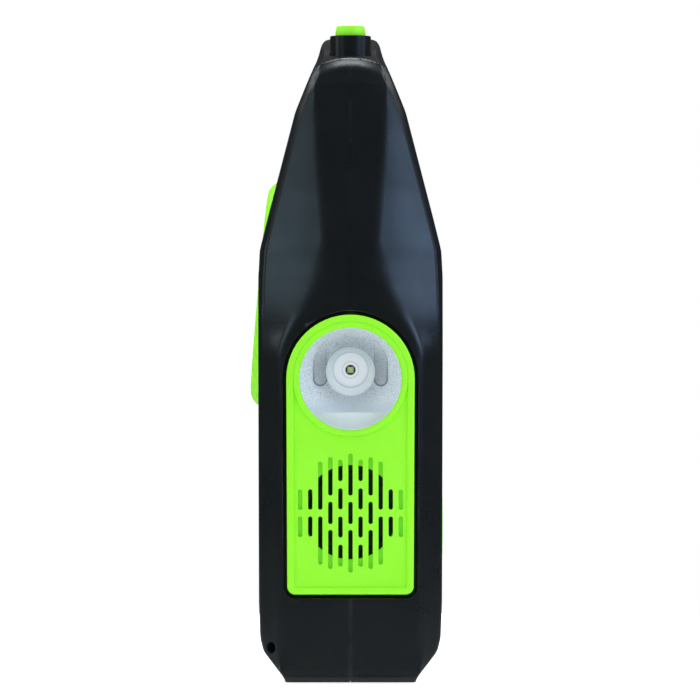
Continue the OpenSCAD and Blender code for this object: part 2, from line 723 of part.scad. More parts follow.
front_shell();
rear_shell();
lamp_panel();
port_panel();
battery_door();
base_pad();
shell_screws();
lamp_lens();
lamp_reflector();
led_holder();
led_emitter();
led_board();
siren_frame();
siren_cone();
siren_magnet();
speaker_grille();
speaker_frame();
speaker_cone();
speaker_magnet();
display_window();
lcd_module();
main_board();
tuning_knob();
volume_knob();
tuning_encoder();
volume_pot();
key_power();
key_band();
key_scan();
key_lamp();
key_siren();
battery_tray();
battery_cells();
lithium_cell();
solar_panel();
crank_wheel();
crank_shaft();
drive_gear();
grip_core();
grip_sleeve();
grip_pin();
idler_gear();
generator_rotor();
generator_body();
gear_plate();
antenna_collar();
antenna_tube();
antenna_section_2();
antenna_section_3();
antenna_rod();
antenna_tip();
ferrite_rod();
ferrite_coil();
port_cover();
audio_jack();
usb_socket();
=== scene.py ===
"""Looks of a hand-crank emergency radio, built round its fixed CAD frame.

Sizes are in millimetres, and meshes in metres.
"""

import logging
import math
from dataclasses import dataclass
from enum import Enum
from typing import Callable, Sequence, Union

import bmesh
import bpy
import numpy as np
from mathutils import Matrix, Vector


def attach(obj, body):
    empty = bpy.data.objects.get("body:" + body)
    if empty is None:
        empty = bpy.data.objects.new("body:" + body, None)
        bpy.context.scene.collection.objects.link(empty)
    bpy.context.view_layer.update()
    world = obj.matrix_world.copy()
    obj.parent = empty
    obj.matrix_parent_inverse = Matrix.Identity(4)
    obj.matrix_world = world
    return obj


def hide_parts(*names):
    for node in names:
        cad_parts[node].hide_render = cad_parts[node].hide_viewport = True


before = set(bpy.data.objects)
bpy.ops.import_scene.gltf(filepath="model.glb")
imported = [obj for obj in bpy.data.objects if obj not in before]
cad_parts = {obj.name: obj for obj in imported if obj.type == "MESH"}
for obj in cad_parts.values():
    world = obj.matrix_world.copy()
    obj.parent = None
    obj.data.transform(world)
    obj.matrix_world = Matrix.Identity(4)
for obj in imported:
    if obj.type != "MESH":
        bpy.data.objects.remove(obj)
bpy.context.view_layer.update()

log = logging.getLogger("radio")
MM = 0.001
Array = np.ndarray
Heights = Callable[[Array], Array]
Rows = Sequence[Sequence[float]] | Array
Pairs = tuple[tuple[float, float], ...]


# ---------------------------------------------------------------- frames and outlines


@dataclass(frozen=True)
class Seat:
    """A local frame: where it stands and which way its three axes point in the radio's own frame."""

    origin: tuple[float, float, float]
    axes: tuple[tuple[float, float, float], ...]

    def out(self, local: Array) -> Array:
        """Carries local points into the radio's frame.

        Args:
            local: Points whose last axis holds local x, y and z.

        Returns:
            The same points as origin + x * axis 1 + y * axis 2 + z * axis 3.
        """
        return np.asarray(self.origin) + np.asarray(local) @ np.asarray(self.axes)


def front(x: float, z: float) -> Seat:
    """Frame on the parting plane whose local z points out of the front."""
    return Seat((x, 0, z), ((1, 0, 0), (0, 0, 1), (0, -1, 0)))


def back(x: float, z: float) -> Seat:
    """Frame on the parting plane whose local z points out of the back."""
    return Seat((x, 0, z), ((1, 0, 0), (0, 0, -1), (0, 1, 0)))


def lamp_end(z: float) -> Seat:
    """Frame on the middle plane whose local z points out of the lamp end."""
    return Seat((0, 0, z), ((0, -1, 0), (0, 0, 1), (-1, 0, 0)))


def port_end(z: float) -> Seat:
    """Frame on the middle plane whose local z points out of the port end."""
    return Seat((0, 0, z), ((0, 1, 0), (0, 0, 1), (1, 0, 0)))


def upright(x: float, y: float) -> Seat:
    """Frame on the base plane whose local z points up."""
    return Seat((x, y, 0), ((1, 0, 0), (0, 1, 0), (0, 0, 1)))


def tilted(x: float, y: float, z: float, lean: float) -> Seat:
    """Frame turned about X by `lean` degrees, so that local z points out of a leaning face."""
    c, s = math.cos(math.radians(lean)), math.sin(math.radians(lean))
    return Seat((x, y, z), ((1, 0, 0), (0, c, s), (0, -s, c)))


CRANK = tilted(0, 29.7, 120, -85)
SLOPE = tilted(0, -25.65, 141.2, 75.6)
DOOR_HINGE = Seat((0, 27.1, 21.4), ((0, 1, 0), (0, 0, 1), (1, 0, 0)))
FLAP_HINGE = Seat((104.85, 0, 59.6), back(0, 0).axes)
LAMP_Z, LED_Z, SIREN_Z = 92.6, 95.3, 51.9
PORTS_Z, SOCKET_Z, JACK_Z = 74.0, 68.0, 88.0
KEYS_Z = 74.0
DISPLAY = (38.0, 100.0)
ANTENNA_X = -74.0
PANEL_SEAT, PANEL_TOP = 102.2, 105.6
SIREN_R = 14.4


@dataclass(frozen=True)
class Outline:
    """A closed outline of arcs: point i stands at centre i + way i * (radius i + growth)."""

    centres: Array
    ways: Array
    radii: Array

    def at(self, grow: float) -> Array:
        """Outline points when it is grown outwards by `grow`."""
        return self.centres + self.ways * (self.radii + grow)[:, None]


def arcs(rows: Sequence[tuple[float, float, float, float, float]], steps: int = 8) -> Outline:
    """Outline made of arcs in turn, joined by straight sides.

    Args:
        rows: For each arc its centre x and y, radius, first angle and last angle in degrees.
        steps: Segments in each arc.

    Returns:
        The outline, counter-clockwise.
    """
    table = np.asarray(rows, float)
    turn = np.radians(table[:, 3:4] + (table[:, 4:5] - table[:, 3:4]) * np.linspace(0, 1, steps + 1))
    ways = np.stack([np.cos(turn), np.sin(turn)], -1)
    centres = np.broadcast_to(table[:, None, :2], ways.shape)
    radii = np.broadcast_to(table[:, 2:3], turn.shape)
    return Outline(centres.reshape(-1, 2), ways.reshape(-1, 2), radii.reshape(-1))


def full_turn(steps: int) -> Array:
    """Evenly spaced angles round a circle."""
    return np.linspace(0, 2 * math.pi, steps, endpoint=False)


def ring(r: float, steps: int = 96, x: float = 0, y: float = 0) -> Outline:
    """Round outline of radius r about (x, y)."""
    a = full_turn(steps)
    ways = np.stack([np.cos(a), np.sin(a)], -1)
    return Outline(np.full((steps, 2), (x, y), float), ways, np.full(steps, r, float))


def tablet(w: float, h: float, r: float, x: float = 0, y: float = 0, steps: int = 8) -> Outline:
    """Rectangle w by h with corners of radius r, centred on (x, y)."""
    a, b = w / 2 - r, h / 2 - r
    corners = ((x + a, y + b), (x - a, y + b), (x - a, y - b), (x + a, y - b))
    return arcs([(cx, cy, r, 90 * i, 90 * i + 90) for i, (cx, cy) in enumerate(corners)], steps)


def arch() -> Outline:
    """The lamp panel's outline: a half circle over a tall rectangle with small lower corners."""
    top = ring(19.6, 64, 0, LAMP_Z)
    low = arcs([(-16.8, 29.3, 2.5, 180, 270), (16.8, 29.3, 2.5, 270, 360)])
    keep = top.ways[:, 1] > -1e-9
    pairs = ((top.centres, low.centres), (top.ways, low.ways), (top.radii, low.radii))
    return Outline(*(np.concatenate([upper[keep], lower]) for upper, lower in pairs))


def rounded(points: Rows, size: float | Sequence[float], steps: int = 4, loop: bool = False) -> Array:
    """Rounds the corners of a profile.

    Corner B between A and C becomes (1-t)^2 P + 2t(1-t) B + t^2 Q for t from 0 to 1, with P and Q `size` away
    from B along its two sides, or 0.45 of a side where that is less.

    Args:
        points: Corners, the last two axes being corner and coordinate.
        size: Rounding of every corner, or one value a corner.
        steps: Segments in each rounded corner.
        loop: True where the last corner joins the first.

    Returns:
        The rounded profile.
    """
    p = np.asarray(points, float)
    before, after = np.roll(p, 1, -2) - p, np.roll(p, -1, -2) - p
    la, lc = (np.maximum(np.linalg.norm(v, axis=-1), 1e-9) for v in (before, after))
    want = np.broadcast_to(np.asarray(size, float), la.shape).copy()
    if not loop:
        want[..., 0] = want[..., -1] = 0
    first = p + before * (np.minimum(want, 0.45 * la) / la)[..., None]
    last = p + after * (np.minimum(want, 0.45 * lc) / lc)[..., None]
    t = np.linspace(0, 1, steps + 1)[:, None]
    first, p, last = (v[..., None, :] for v in (first, p, last))
    curve = (1 - t) ** 2 * first + 2 * t * (1 - t) * p + t**2 * last
    if loop:
        return curve
    flat = curve.reshape(-1, p.shape[-1])
    step = np.linalg.norm(np.diff(flat, axis=0), axis=1)
    return flat[np.concatenate([[True], step > 1e-6])]


# ---------------------------------------------------------------- shapes


@dataclass
class Shape:
    """Points in millimetres and the faces between them."""

    points: Array
    faces: list[list[int]]

    def __add__(self, other: "Shape") -> "Shape":
        """Both shapes as one."""
        shift = len(self.points)
        moved = [[i + shift for i in face] for face in other.faces]
        return Shape(np.vstack([self.points, other.points]), self.faces + moved)


def together(shapes: Sequence[Shape]) -> Shape:
    """All shapes as one."""
    whole = shapes[0]
    for shape in shapes[1:]:
        whole = whole + shape
    return whole


def woven(grid: Array, wrap_rows: bool = False, caps: bool = False) -> Shape:
    """Skin over rows of closed rings.

    Args:
        grid: Points by row, place in the ring and coordinate.
        wrap_rows: True where the last row joins the first.
        caps: True to close the first and last rings with one face each.

    Returns:
        The skin, of quads, with its caps.
    """
    rows, cols = grid.shape[:2]
    i = np.arange(rows if wrap_rows else rows - 1)[:, None]
    j = np.arange(cols)[None]
    k, m = (i + 1) % rows, (j + 1) % cols
    corners = np.broadcast_arrays(i * cols + j, i * cols + m, k * cols + m, k * cols + j)
    faces = np.stack(corners, -1).reshape(-1, 4).tolist()
    if caps:
        faces += [list(range(cols))[::-1], list(range((rows - 1) * cols, rows * cols))]
    return Shape(grid.reshape(-1, 3), faces)


def polar(radius: Array, a: Array, high: Array) -> Array:
    """Points (r cos a, r sin a, h)."""
    return np.stack(np.broadcast_arrays(radius * np.cos(a), radius * np.sin(a), high), -1)


def lifted(flat: Array, high: Array) -> Array:
    """Points (x, y, h) from flat points and their heights."""
    return np.concatenate([flat, high[..., None]], -1)


def turned(seat: Seat, profile: Rows, steps: int = 96, loop: bool = False) -> Shape:
    """Turned solid: point (r, h) of the profile becomes (r cos a, r sin a, h) for every angle a.

    Args:
        seat: Frame whose local z is the axis.
        profile: Radius and height pairs. A loop is a ring, and any other profile starts and ends on the axis.
        steps: Segments round the axis.
        loop: True for a ring.

    Returns:
        The solid.
    """
    p = np.asarray(profile, float)
    return woven(seat.out(polar(p[:, :1], full_turn(steps), p[:, 1:])), wrap_rows=loop)


def pillow(seat: Seat, outline: Outline, profile: Rows, over: Heights | None = None) -> Shape:
    """Stack of outlines: row (g, h) is the outline grown by g at height h.

    Args:
        seat: Frame whose local z is the way up.
        outline: The outline.
        profile: Growth and height pairs from the floor up.
        over: Height of the ground that every row but the first is measured from, for local points.

    Returns:
        The closed solid.
    """
    p = np.asarray(profile, float)
    flat = np.stack([outline.at(g) for g in p[:, 0]])
    high = np.repeat(p[:, 1:], flat.shape[1], 1)
    if over is not None:
        high[1:] += over(flat[1:])
    return woven(seat.out(lifted(flat, high)), caps=True)


def lip(size: float, rise: float = 0.04, steps: int = 6) -> Array:
    """Flare of a hole's edge: growth size (1 - cos a) at height size (sin a - 1), for a from 0 to 90 deg."""
    a = np.linspace(0, math.pi / 2, steps + 1)
    return np.stack([size * (1 - np.cos(a)), (size + rise) * np.sin(a) - size], -1)


def hollow(
    seat: Seat, outline: Outline, floor: float, over: float | Heights, edge: float = 0.4, room: float = 12
) -> Shape:
    """Cutter of a pocket or hole whose upper edge is rounded.

    Args:
        seat: Frame whose local z points out of the face.
        outline: The pocket's outline.
        floor: Height of the pocket's floor.
        over: Height of the face, as one number or for local points.
        edge: Radius of the rounded edge.
        room: How far the cutter stands out of the face.

    Returns:
        The cutter.
    """
    rows = np.vstack([[0, floor], lip(edge), [edge, room]])
    ground = over if callable(over) else lambda flat: np.full(flat.shape[:-1], float(over))
    return pillow(seat, outline, rows, ground)


def post(seat: Seat, r: float, low: float, high: float, edge: float = 0, steps: int = 48) -> Shape:
    """Round bar of radius r from `low` to `high` with its two rims rounded by `edge`."""
    corners = [(0, low), (r, low), (r, high), (0, high)]
    return turned(seat, rounded(corners, edge or 1e-4, 3 if edge else 1), steps)


def drum(seat: Seat, outline: Outline, low: float, high: float) -> Shape:
    """Upright solid over an outline."""
    return pillow(seat, outline, [(0, low), (0, high)])


def block(low: Sequence[float], high: Sequence[float]) -> Shape:
    """Box between two corners."""
    (x0, y0, z0), (x1, y1, z1) = low, high
    return drum(upright(0, 0), tablet(x1 - x0, y1 - y0, 0.001, (x0 + x1) / 2, (y0 + y1) / 2, 2), z0, z1)


# ---------------------------------------------------------------- meshes


class Cut(Enum):
    """What a tool does to the work."""

    AWAY = "DIFFERENCE"
    JOIN = "UNION"
    COMMON = "INTERSECT"


def mesh_of(name: str, shape: Shape) -> bpy.types.Mesh:
    """Makes a closed, outward-facing mesh, with a turned shape's poles merged."""
    mesh = bpy.data.meshes.new(name)
    mesh.from_pydata((shape.points * MM).tolist(), [], shape.faces)
    bm = bmesh.new()
    bm.from_mesh(mesh)
    bmesh.ops.remove_doubles(bm, verts=bm.verts, dist=2e-7)
    bmesh.ops.recalc_face_normals(bm, faces=bm.faces)
    bm.to_mesh(mesh)
    bm.free()
    return mesh


def placed(name: str, data: bpy.types.ID) -> bpy.types.Object:
    """Object of a mesh, light or camera, in the scene."""
    made = bpy.data.objects.new(name, data)
    bpy.context.scene.collection.objects.link(made)
    return made


class Work:
    """A mesh on the bench that tools are set to one after another."""

    def __init__(self, name: str, shape: Shape) -> None:
        """Lays the first shape on the bench."""
        self.obj = placed(name, mesh_of(name, shape))

    def apply(self, shape: Shape, cut: Cut = Cut.AWAY) -> "Work":
        """Sets one closed tool to the work.

        Args:
            shape: The tool.
            cut: What it does.

        Returns:
            The work itself.

        Raises:
            RuntimeError: If nothing is left.
        """
        tool = placed("tool", mesh_of("tool", shape))
        step = self.obj.modifiers.new("tool", "BOOLEAN")
        step.object, step.operation, step.solver = tool, cut.value, "MANIFOLD"
        view = bpy.context.evaluated_depsgraph_get()
        made = bpy.data.meshes.new_from_object(self.obj.evaluated_get(view))
        before = len(self.obj.data.polygons)
        self.obj.modifiers.remove(step)
        old, self.obj.data = self.obj.data, made
        bpy.data.meshes.remove(old)
        tool_mesh = tool.data
        bpy.data.objects.remove(tool)
        bpy.data.meshes.remove(tool_mesh)
        if not len(made.polygons):
            raise RuntimeError(f"nothing is left of {self.obj.name}")
        if len(made.polygons) == before:
            log.warning("a tool left %s as it was", self.obj.name)
        return self

    def cut(self, *shapes: Shape) -> "Work":
        """Takes each shape away in turn."""
        for shape in shapes:
            self.apply(shape)
        return self

    def join(self, *shapes: Shape) -> "Work":
        """Adds each shape in turn."""
        for shape in shapes:
            self.apply(shape, Cut.JOIN)
        return self

    def shape(self) -> Shape:
        """The work's surface as a shape, and clears the bench."""
        mesh = self.obj.data
        flat = np.empty(len(mesh.vertices) * 3, np.float32)
        mesh.vertices.foreach_get("co", flat)
        faces = [list(p.vertices) for p in mesh.polygons]
        bpy.data.objects.remove(self.obj)
        bpy.data.meshes.remove(mesh)
        return Shape(flat.reshape(-1, 3).astype(float) / MM, faces)


# ---------------------------------------------------------------- shader helpers

Value = Union[float, bpy.types.NodeSocket, "Signal"]
Colour = tuple[float, float, float]
Inputs = dict[str | int, object]


@dataclass(frozen=True)
class Signal:
    """A socket that carries a number, with the sums that can be done on it."""

    sheet: "Sheet"
    socket: bpy.types.NodeSocket

    def math(self, op: str, b: Value = 0.0, c: Value = 0.0, clamp: bool = False) -> "Signal":
        """Result of one sum on this and b (and c)."""
        return self.sheet.math(op, self, b, c, clamp)

    def __add__(self, other: Value) -> "Signal":
        """This plus the other."""
        return self.math("ADD", other)

    def __sub__(self, other: Value) -> "Signal":
        """This less the other."""
        return self.math("SUBTRACT", other)

    def __rsub__(self, other: Value) -> "Signal":
        """The other less this."""
        return self.sheet.math("SUBTRACT", other, self)

    def __mul__(self, other: Value) -> "Signal":
        """This times the other."""
        return self.math("MULTIPLY", other)

    def __abs__(self) -> "Signal":
        """This without its sign."""
        return self.math("ABSOLUTE")

    def most(self, other: Value) -> "Signal":
        """The greater of this and the other."""
        return self.math("MAXIMUM", other)

    def least(self, other: Value) -> "Signal":
        """The lesser of this and the other."""
        return self.math("MINIMUM", other)

    def swing(self, half: float) -> "Signal":
        """Triangle wave from 0 to `half` and back."""
        return self.math("PINGPONG", half)

    def ramp(self, low: float, high: float, start: float = 0.0, end: float = 1.0) -> "Signal":
        """Smooth ramp from `start` at `low` to `end` at `high`."""
        inputs = {0: self, 1: low, 2: high, 3: start, 4: end}
        made = self.sheet.node("ShaderNodeMapRange", inputs, interpolation_type="SMOOTHSTEP")
        return Signal(self.sheet, made.outputs[0])

    def fall(self, low: float, high: float, start: float = 1.0) -> "Signal":
        """Smooth fall from `start` at `low` to 0 at `high`."""
        return self.ramp(low, high, start, 0.0)


def span_of(a: Signal, b: Signal) -> Signal:
    """Length sqrt(a^2 + b^2)."""
    return (a * a + b * b).math("SQRT")


class Sheet:
    """A node tree with short calls for the nodes used here."""

    def __init__(self, tree: bpy.types.NodeTree) -> None:
        """Wraps a tree."""
        self.tree = tree

    def node(self, kind: str, inputs: Inputs | None = None, **settings: object) -> bpy.types.Node:
        """Adds a node.

        Args:
            kind: The node's type.
            inputs: Values, colours, signals or sockets by input name or number.
            **settings: The node's own properties.

        Returns:
            The node.
        """
        made = self.tree.nodes.new(kind)
        for key, value in settings.items():
            setattr(made, key, value)
        for key, value in (inputs or {}).items():
            self.put(made.inputs[key], value)
        return made

    def put(self, socket: bpy.types.NodeSocket, value: object) -> None:
        """Links a socket to the input, or writes the value on it."""
        if isinstance(value, Signal):
            value = value.socket
        if isinstance(value, bpy.types.NodeSocket):
            self.tree.links.new(value, socket)
        elif socket.type == "RGBA":
            socket.default_value = (*value, 1.0)
        else:
            socket.default_value = value

    def math(self, op: str, a: Value, b: Value = 0.0, c: Value = 0.0, clamp: bool = False) -> Signal:
        """Result of one sum on a and b (and c)."""
        made = self.node("ShaderNodeMath", {0: a, 1: b, 2: c}, operation=op, use_clamp=clamp)
        return Signal(self, made.outputs[0])

    def coats(self, colour: object, *coats: tuple[Value, object]) -> object:
        """Lays coats over a colour in turn, each by its share."""
        for share, coat in coats:
            colour = self.node("ShaderNodeMix", {0: share, 6: colour, 7: coat}, data_type="RGBA").outputs[2]
        return colour

    def place(self) -> bpy.types.NodeSocket:
        """The piece's own coordinates, in metres."""
        return self.node("ShaderNodeTexCoord").outputs["Object"]

    def part(self, vector: bpy.types.NodeSocket, i: int) -> Signal:
        """One coordinate of a vector."""
        return Signal(self, self.node("ShaderNodeSeparateXYZ", {0: vector}).outputs[i])

    def axes(self) -> tuple[Signal, ...]:
        """X, Y and Z of the piece's own coordinates, in millimetres."""
        place = self.place()
        return tuple(self.part(place, i) * 1000.0 for i in range(3))

    def geometry(self, name: str) -> bpy.types.NodeSocket:
        """One output of the surface's geometry."""
        return self.node("ShaderNodeNewGeometry").outputs[name]

    def noise(
        self, scale: Value, detail: float = 3.0, rough: float = 0.55, stretch: Sequence[float] | None = None
    ) -> Signal:
        """Noise over the piece's own coordinates, from 0 to 1."""
        spot = self.place()
        if stretch:
            spot = self.node("ShaderNodeMapping", {0: spot, 3: stretch}).outputs[0]
        inputs = {"Vector": spot, "Scale": scale, "Detail": detail, "Roughness": rough}
        return Signal(self, self.node("ShaderNodeTexNoise", inputs).outputs[0])

    def cells(self, scale: float, output: str) -> bpy.types.NodeSocket:
        """One output of a cell pattern over the piece's own coordinates."""
        return self.node("ShaderNodeTexVoronoi", {"Vector": self.place(), "Scale": scale}).outputs[output]


def blank(owner: bpy.types.Material | bpy.types.World) -> Sheet:
    """Sheet of a material's or world's emptied node tree."""
    owner.use_nodes = True
    owner.node_tree.nodes.clear()
    return Sheet(owner.node_tree)


def effect(sheet: Sheet, build: Callable[..., dict[str, Signal]], **inputs: float) -> list[Signal]:
    """Places a shared effect, whose node group is made at its first use.

    Args:
        sheet: The material's sheet.
        build: Fills the group, given its sheet and inputs, and returns its outputs by name.
        **inputs: The inputs' values in this material.

    Returns:
        The outputs in turn.
    """
    tree = bpy.data.node_groups.get(build.__name__)
    if tree is None:
        tree = bpy.data.node_groups.new(build.__name__, "ShaderNodeTree")
        for key in inputs:
            tree.interface.new_socket(name=key, in_out="INPUT", socket_type="NodeSocketFloat")
        inner = Sheet(tree)
        given = inner.node("NodeGroupInput").outputs
        gives = build(inner, **{key: Signal(inner, given[key]) for key in inputs})
        for key in gives:
            tree.interface.new_socket(name=key, in_out="OUTPUT", socket_type="NodeSocketFloat")
        inner.node("NodeGroupOutput", gives)
    made = sheet.node("ShaderNodeGroup", inputs, node_tree=tree)
    return [Signal(sheet, socket) for socket in made.outputs]


def moulded_grain(sheet: Sheet, scale: Signal) -> dict[str, Signal]:
    """Fine moulded texture for the bump, and broad and fine unevenness for colour and gloss."""
    fine, broad = sheet.noise(scale, 4.0, 0.6), sheet.noise(scale * 0.02, 3.0, 0.6)
    return {"height": fine, "tone": (fine * 0.35 + broad * 0.65).ramp(0.3, 0.7)}


def rubbed_edges(sheet: Sheet, amount: Signal) -> dict[str, Signal]:
    """Mask of convex edges, broken up where handling has rubbed them."""
    edge = Signal(sheet, sheet.geometry("Pointiness")).ramp(0.515, 0.58)
    return {"mask": edge * sheet.noise(140.0, 4.0, 0.65).ramp(0.35, 0.62) * amount}


def settled_dust(sheet: Sheet, amount: Signal) -> dict[str, Signal]:
    """Mask of faint dust that lies on upward faces."""
    veil = sheet.part(sheet.geometry("Normal"), 2).ramp(0.2, 1.0)
    return {"mask": sheet.noise(1800.0, 2.0).ramp(0.5, 0.75) * veil * amount}


# ---------------------------------------------------------------- finishes

Look = tuple[object, Signal, Signal]


@dataclass(frozen=True)
class Finish:
    """A finish: its colour, gloss and small marks. `slot` is another name for it, where that differs; the
    script does nothing with it.
    """

    name: str
    colour: Colour
    roughness: float = 0.4
    metallic: float = 0.0
    scale: float = 1500.0
    bump: float = 0.08
    tone: float = 0.12
    uneven: float = 0.08
    wear: float = 0.15
    dust: float = 0.02
    coat: float = 0.0
    glow: float = 0.0
    slot: str = ""

    def pattern(self, sheet: Sheet, colour: object, rough: Signal, height: Signal) -> Look:
        """Adds this finish's own pattern to its colour, roughness and height."""
        return colour, rough, height

    def shader(self, sheet: Sheet) -> bpy.types.Node:
        """Builds the shader.

        Args:
            sheet: The material's sheet.

        Returns:
            The Principled BSDF node.
        """
        grain, tone = effect(sheet, moulded_grain, scale=self.scale)
        worn, = effect(sheet, rubbed_edges, amount=self.wear)
        dusty, = effect(sheet, settled_dust, amount=self.dust)
        dark = tuple(c * (1 - self.tone) for c in self.colour)
        light = tuple(c + (0.85 - c) * 0.25 for c in self.colour)
        rough = tone * self.uneven + (self.roughness - self.uneven / 2)
        colour, rough, height = self.pattern(sheet, sheet.coats(dark, (tone, self.colour)), rough, grain)
        colour = sheet.coats(colour, (worn, light), (dusty, (0.5, 0.5, 0.48)))
        bump = sheet.node("ShaderNodeBump", {"Strength": self.bump, "Distance": 0.0003, "Height": height})
        inputs = {"Base Color": colour, "Metallic": self.metallic, "Roughness": rough}
        inputs["Normal"] = bump.outputs[0]
        if self.coat:
            inputs |= {"Coat Weight": self.coat, "Coat Roughness": 0.12}
        if self.glow:
            inputs |= {"Emission Color": self.colour, "Emission Strength": self.glow}
        return sheet.node("ShaderNodeBsdfPrincipled", inputs)

    def material(self) -> bpy.types.Material:
        """The material, made at the first call and kept."""
        name = f"{self.name}_finish"
        if name in bpy.data.materials:
            return bpy.data.materials[name]
        made = bpy.data.materials.new(name)
        sheet = blank(made)
        sheet.node("ShaderNodeOutputMaterial", {"Surface": self.shader(sheet).outputs[0]})
        return made


@dataclass(frozen=True)
class ClearCover(Finish):
    """Thin clear cover: it shows only what it mirrors, by Fresnel, and lets the rest through."""

    def shader(self, sheet: Sheet) -> bpy.types.Node:
        """Mirror whose alpha is its Fresnel share and a trace of haze."""
        shine = Signal(sheet, sheet.node("ShaderNodeFresnel", {"IOR": 1.45}).outputs[0])
        haze = sheet.noise(60.0, 4.0).ramp(0.35, 0.75, 0.0, 0.02)
        rough = sheet.noise(160.0).ramp(0.3, 0.7, self.roughness, self.roughness + 0.06)
        facing = 1.0 - Signal(sheet, sheet.geometry("Backfacing"))
        alpha = (shine * 1.2 + haze).math("MULTIPLY", facing, clamp=True)
        inputs = {"Base Color": self.colour, "Metallic": 1.0, "Roughness": rough, "Alpha": alpha}
        return sheet.node("ShaderNodeBsdfPrincipled", inputs)


@dataclass(frozen=True)
class SmokedWindow(Finish):
    """Gloss window, black behind its border and clear in the middle."""

    half: tuple[float, float] = (27.0, 9.6)

    def shader(self, sheet: Sheet) -> bpy.types.Node:
        """Black where it is painted, and a faint mirror over the clear middle."""
        x, _, z = sheet.axes()
        across, along = abs(x - DISPLAY[0]) - self.half[0], abs(z - DISPLAY[1]) - self.half[1]
        border = across.math("SMOOTH_MAX", along, 1.2).ramp(-0.05, 0.05)
        alpha = border.most(sheet.noise(90.0, 4.0).ramp(0.4, 0.7, 0.0, 0.03) + 0.12)
        rough = sheet.noise(220.0).ramp(0.3, 0.7, self.roughness, self.roughness + 0.08)
        inputs = {"Base Color": self.colour, "Roughness": rough, "Alpha": alpha, "Coat Weight": 1.0}
        return sheet.node("ShaderNodeBsdfPrincipled", inputs)


@dataclass(frozen=True)
class StippledReflector(Finish):
    """Bright plated dish: a stippled bowl, a smoother lower crescent and darker pads beside the holder, their
    tones painted reflection.
    """

    chord: float = 82.3

    def pattern(self, sheet: Sheet, colour: object, rough: Signal, height: Signal) -> Look:
        """Pads 4.2 mm wide stand 9.35 mm off the LED's axis, round below and inside a 12 mm circle. The pads,
        their near-black outlines, the darker band above the crescent and the crescent's tone are painted
        reflection.
        """
        _, y, z = sheet.axes()
        up = z - LED_Z
        inside = span_of(abs(y) - 9.35, (up + 2.9).least(0.0)).most(span_of(y, up) - 9.75)
        # Painted dark reflection: the pads beside the holder and, next line, their near-black outline,
        # strongest low down.
        pad = inside.fall(2.0, 2.25) * up.fall(2.0, 9.0)
        rim = inside.ramp(1.45, 1.95) * inside.fall(2.05, 2.35) * up.ramp(-5.5, 6.0, 1.0, 0.12)
        specks = sheet.noise(2100.0, 2.0).ramp(0.47, 0.6) * z.ramp(self.chord, self.chord + 8, 0.2, 0.75)
        streaks = sheet.noise(1.0, 3.0, 0.6, (900.0, 2400.0, 60.0))
        # Painted reflection: a darker band just above the chord, and the crescent's own tone below it.
        low = z.ramp(self.chord + 5.5, self.chord + 0.5)
        crescent = z.ramp(self.chord + 0.05, self.chord - 0.05)
        colour = sheet.coats(
            colour,
            (specks, (0.48, 0.54, 0.60)),
            (low * 0.35, (0.36, 0.47, 0.56)),
            (crescent, (0.72, 0.76, 0.82)),
            (pad * 0.42, (0.16, 0.20, 0.23)),
            (rim * 0.85, (0.01, 0.015, 0.02)),
        )
        stipple = Signal(sheet, sheet.cells(1500.0, "Distance"))
        return colour, rough + crescent * 0.12, stipple * (1.0 - low) + streaks * low


@dataclass(frozen=True)
class FrostedHolder(Finish):
    """Frosted plastic with a brighter middle, a fine ring round the LED and a rim with painted shade above;
    the ring, the step line and the hole are darkened with painted shade.
    """

    def pattern(self, sheet: Sheet, colour: object, rough: Signal, height: Signal) -> Look:
        """Zones by distance from the LED's axis: middle to 5.4 mm, fine ring at 2.5 mm, hole to 1.5 mm. The
        dark lines at the steps, the darkened hole and the darker top of the rim are painted shade.
        """
        _, y, z = sheet.axes()
        up = z - LED_Z
        r = span_of(y, up)
        outer = r.ramp(5.3, 5.5)
        # Painted shade: dark lines at the steps (2.5 mm and 5.4 mm) and in the hole.
        fine, step = abs(r - 2.5).fall(0.06, 0.2, 0.3), abs(r - 5.4).fall(0.05, 0.25, 0.25)
        lines = fine.most(step).most(r.fall(1.5, 1.75, 0.75))
        # Painted shade: the rim darker towards its top.
        shaded = outer * up.ramp(-4.0, 6.5, 0.05, 0.45)
        colour = sheet.coats((0.89, 0.89, 0.97), (outer, colour))
        return sheet.coats(colour, (shaded, (0.42, 0.50, 0.58)), (lines, (0.12, 0.14, 0.15))), rough, height


@dataclass(frozen=True)
class LampChip(Finish):
    """Square phosphor in a dark seat."""

    def pattern(self, sheet: Sheet, colour: object, rough: Signal, height: Signal) -> Look:
        """Phosphor where the greater of |y| and |z - axis| is under 0.95 mm."""
        _, y, z = sheet.axes()
        side = abs(y).math("SMOOTH_MAX", abs(z - LED_Z), 0.3)
        return sheet.coats(colour, (side.ramp(0.9, 1.05), (0.05, 0.06, 0.055))), rough, height


@dataclass(frozen=True)
class SolarCells(Finish):
    """Dark silicon cells with fine silver lines under a gloss coat."""

    pitch: float = 12.6
    finger: float = 1.55

    def pattern(self, sheet: Sheet, colour: object, rough: Signal, height: Signal) -> Look:
        """Gaps every `pitch` along X, fingers every `finger` along Z, two wider bars and a black border."""
        x, _, z = sheet.axes()
        up = z - SLOPE.origin[2]
        shade = sheet.node("ShaderNodeSeparateColor", {0: sheet.cells(260.0, "Color")}).outputs[0]
        colour = sheet.coats(
            colour,
            (shade, (0.012, 0.03, 0.11)),
            (up.swing(self.finger / 2).fall(0.05, 0.1) * 0.45, (0.35, 0.37, 0.4)),
            (abs(abs(up) - 5.2).fall(0.28, 0.36), (0.5, 0.52, 0.55)),
            (x.swing(self.pitch / 2).fall(0.22, 0.3), (0.35, 0.36, 0.38)),
            (abs(x).ramp(50.1, 50.3).most(abs(up).ramp(9.9, 10.1)), (0.008, 0.009, 0.01)),
        )
        return colour, rough, height


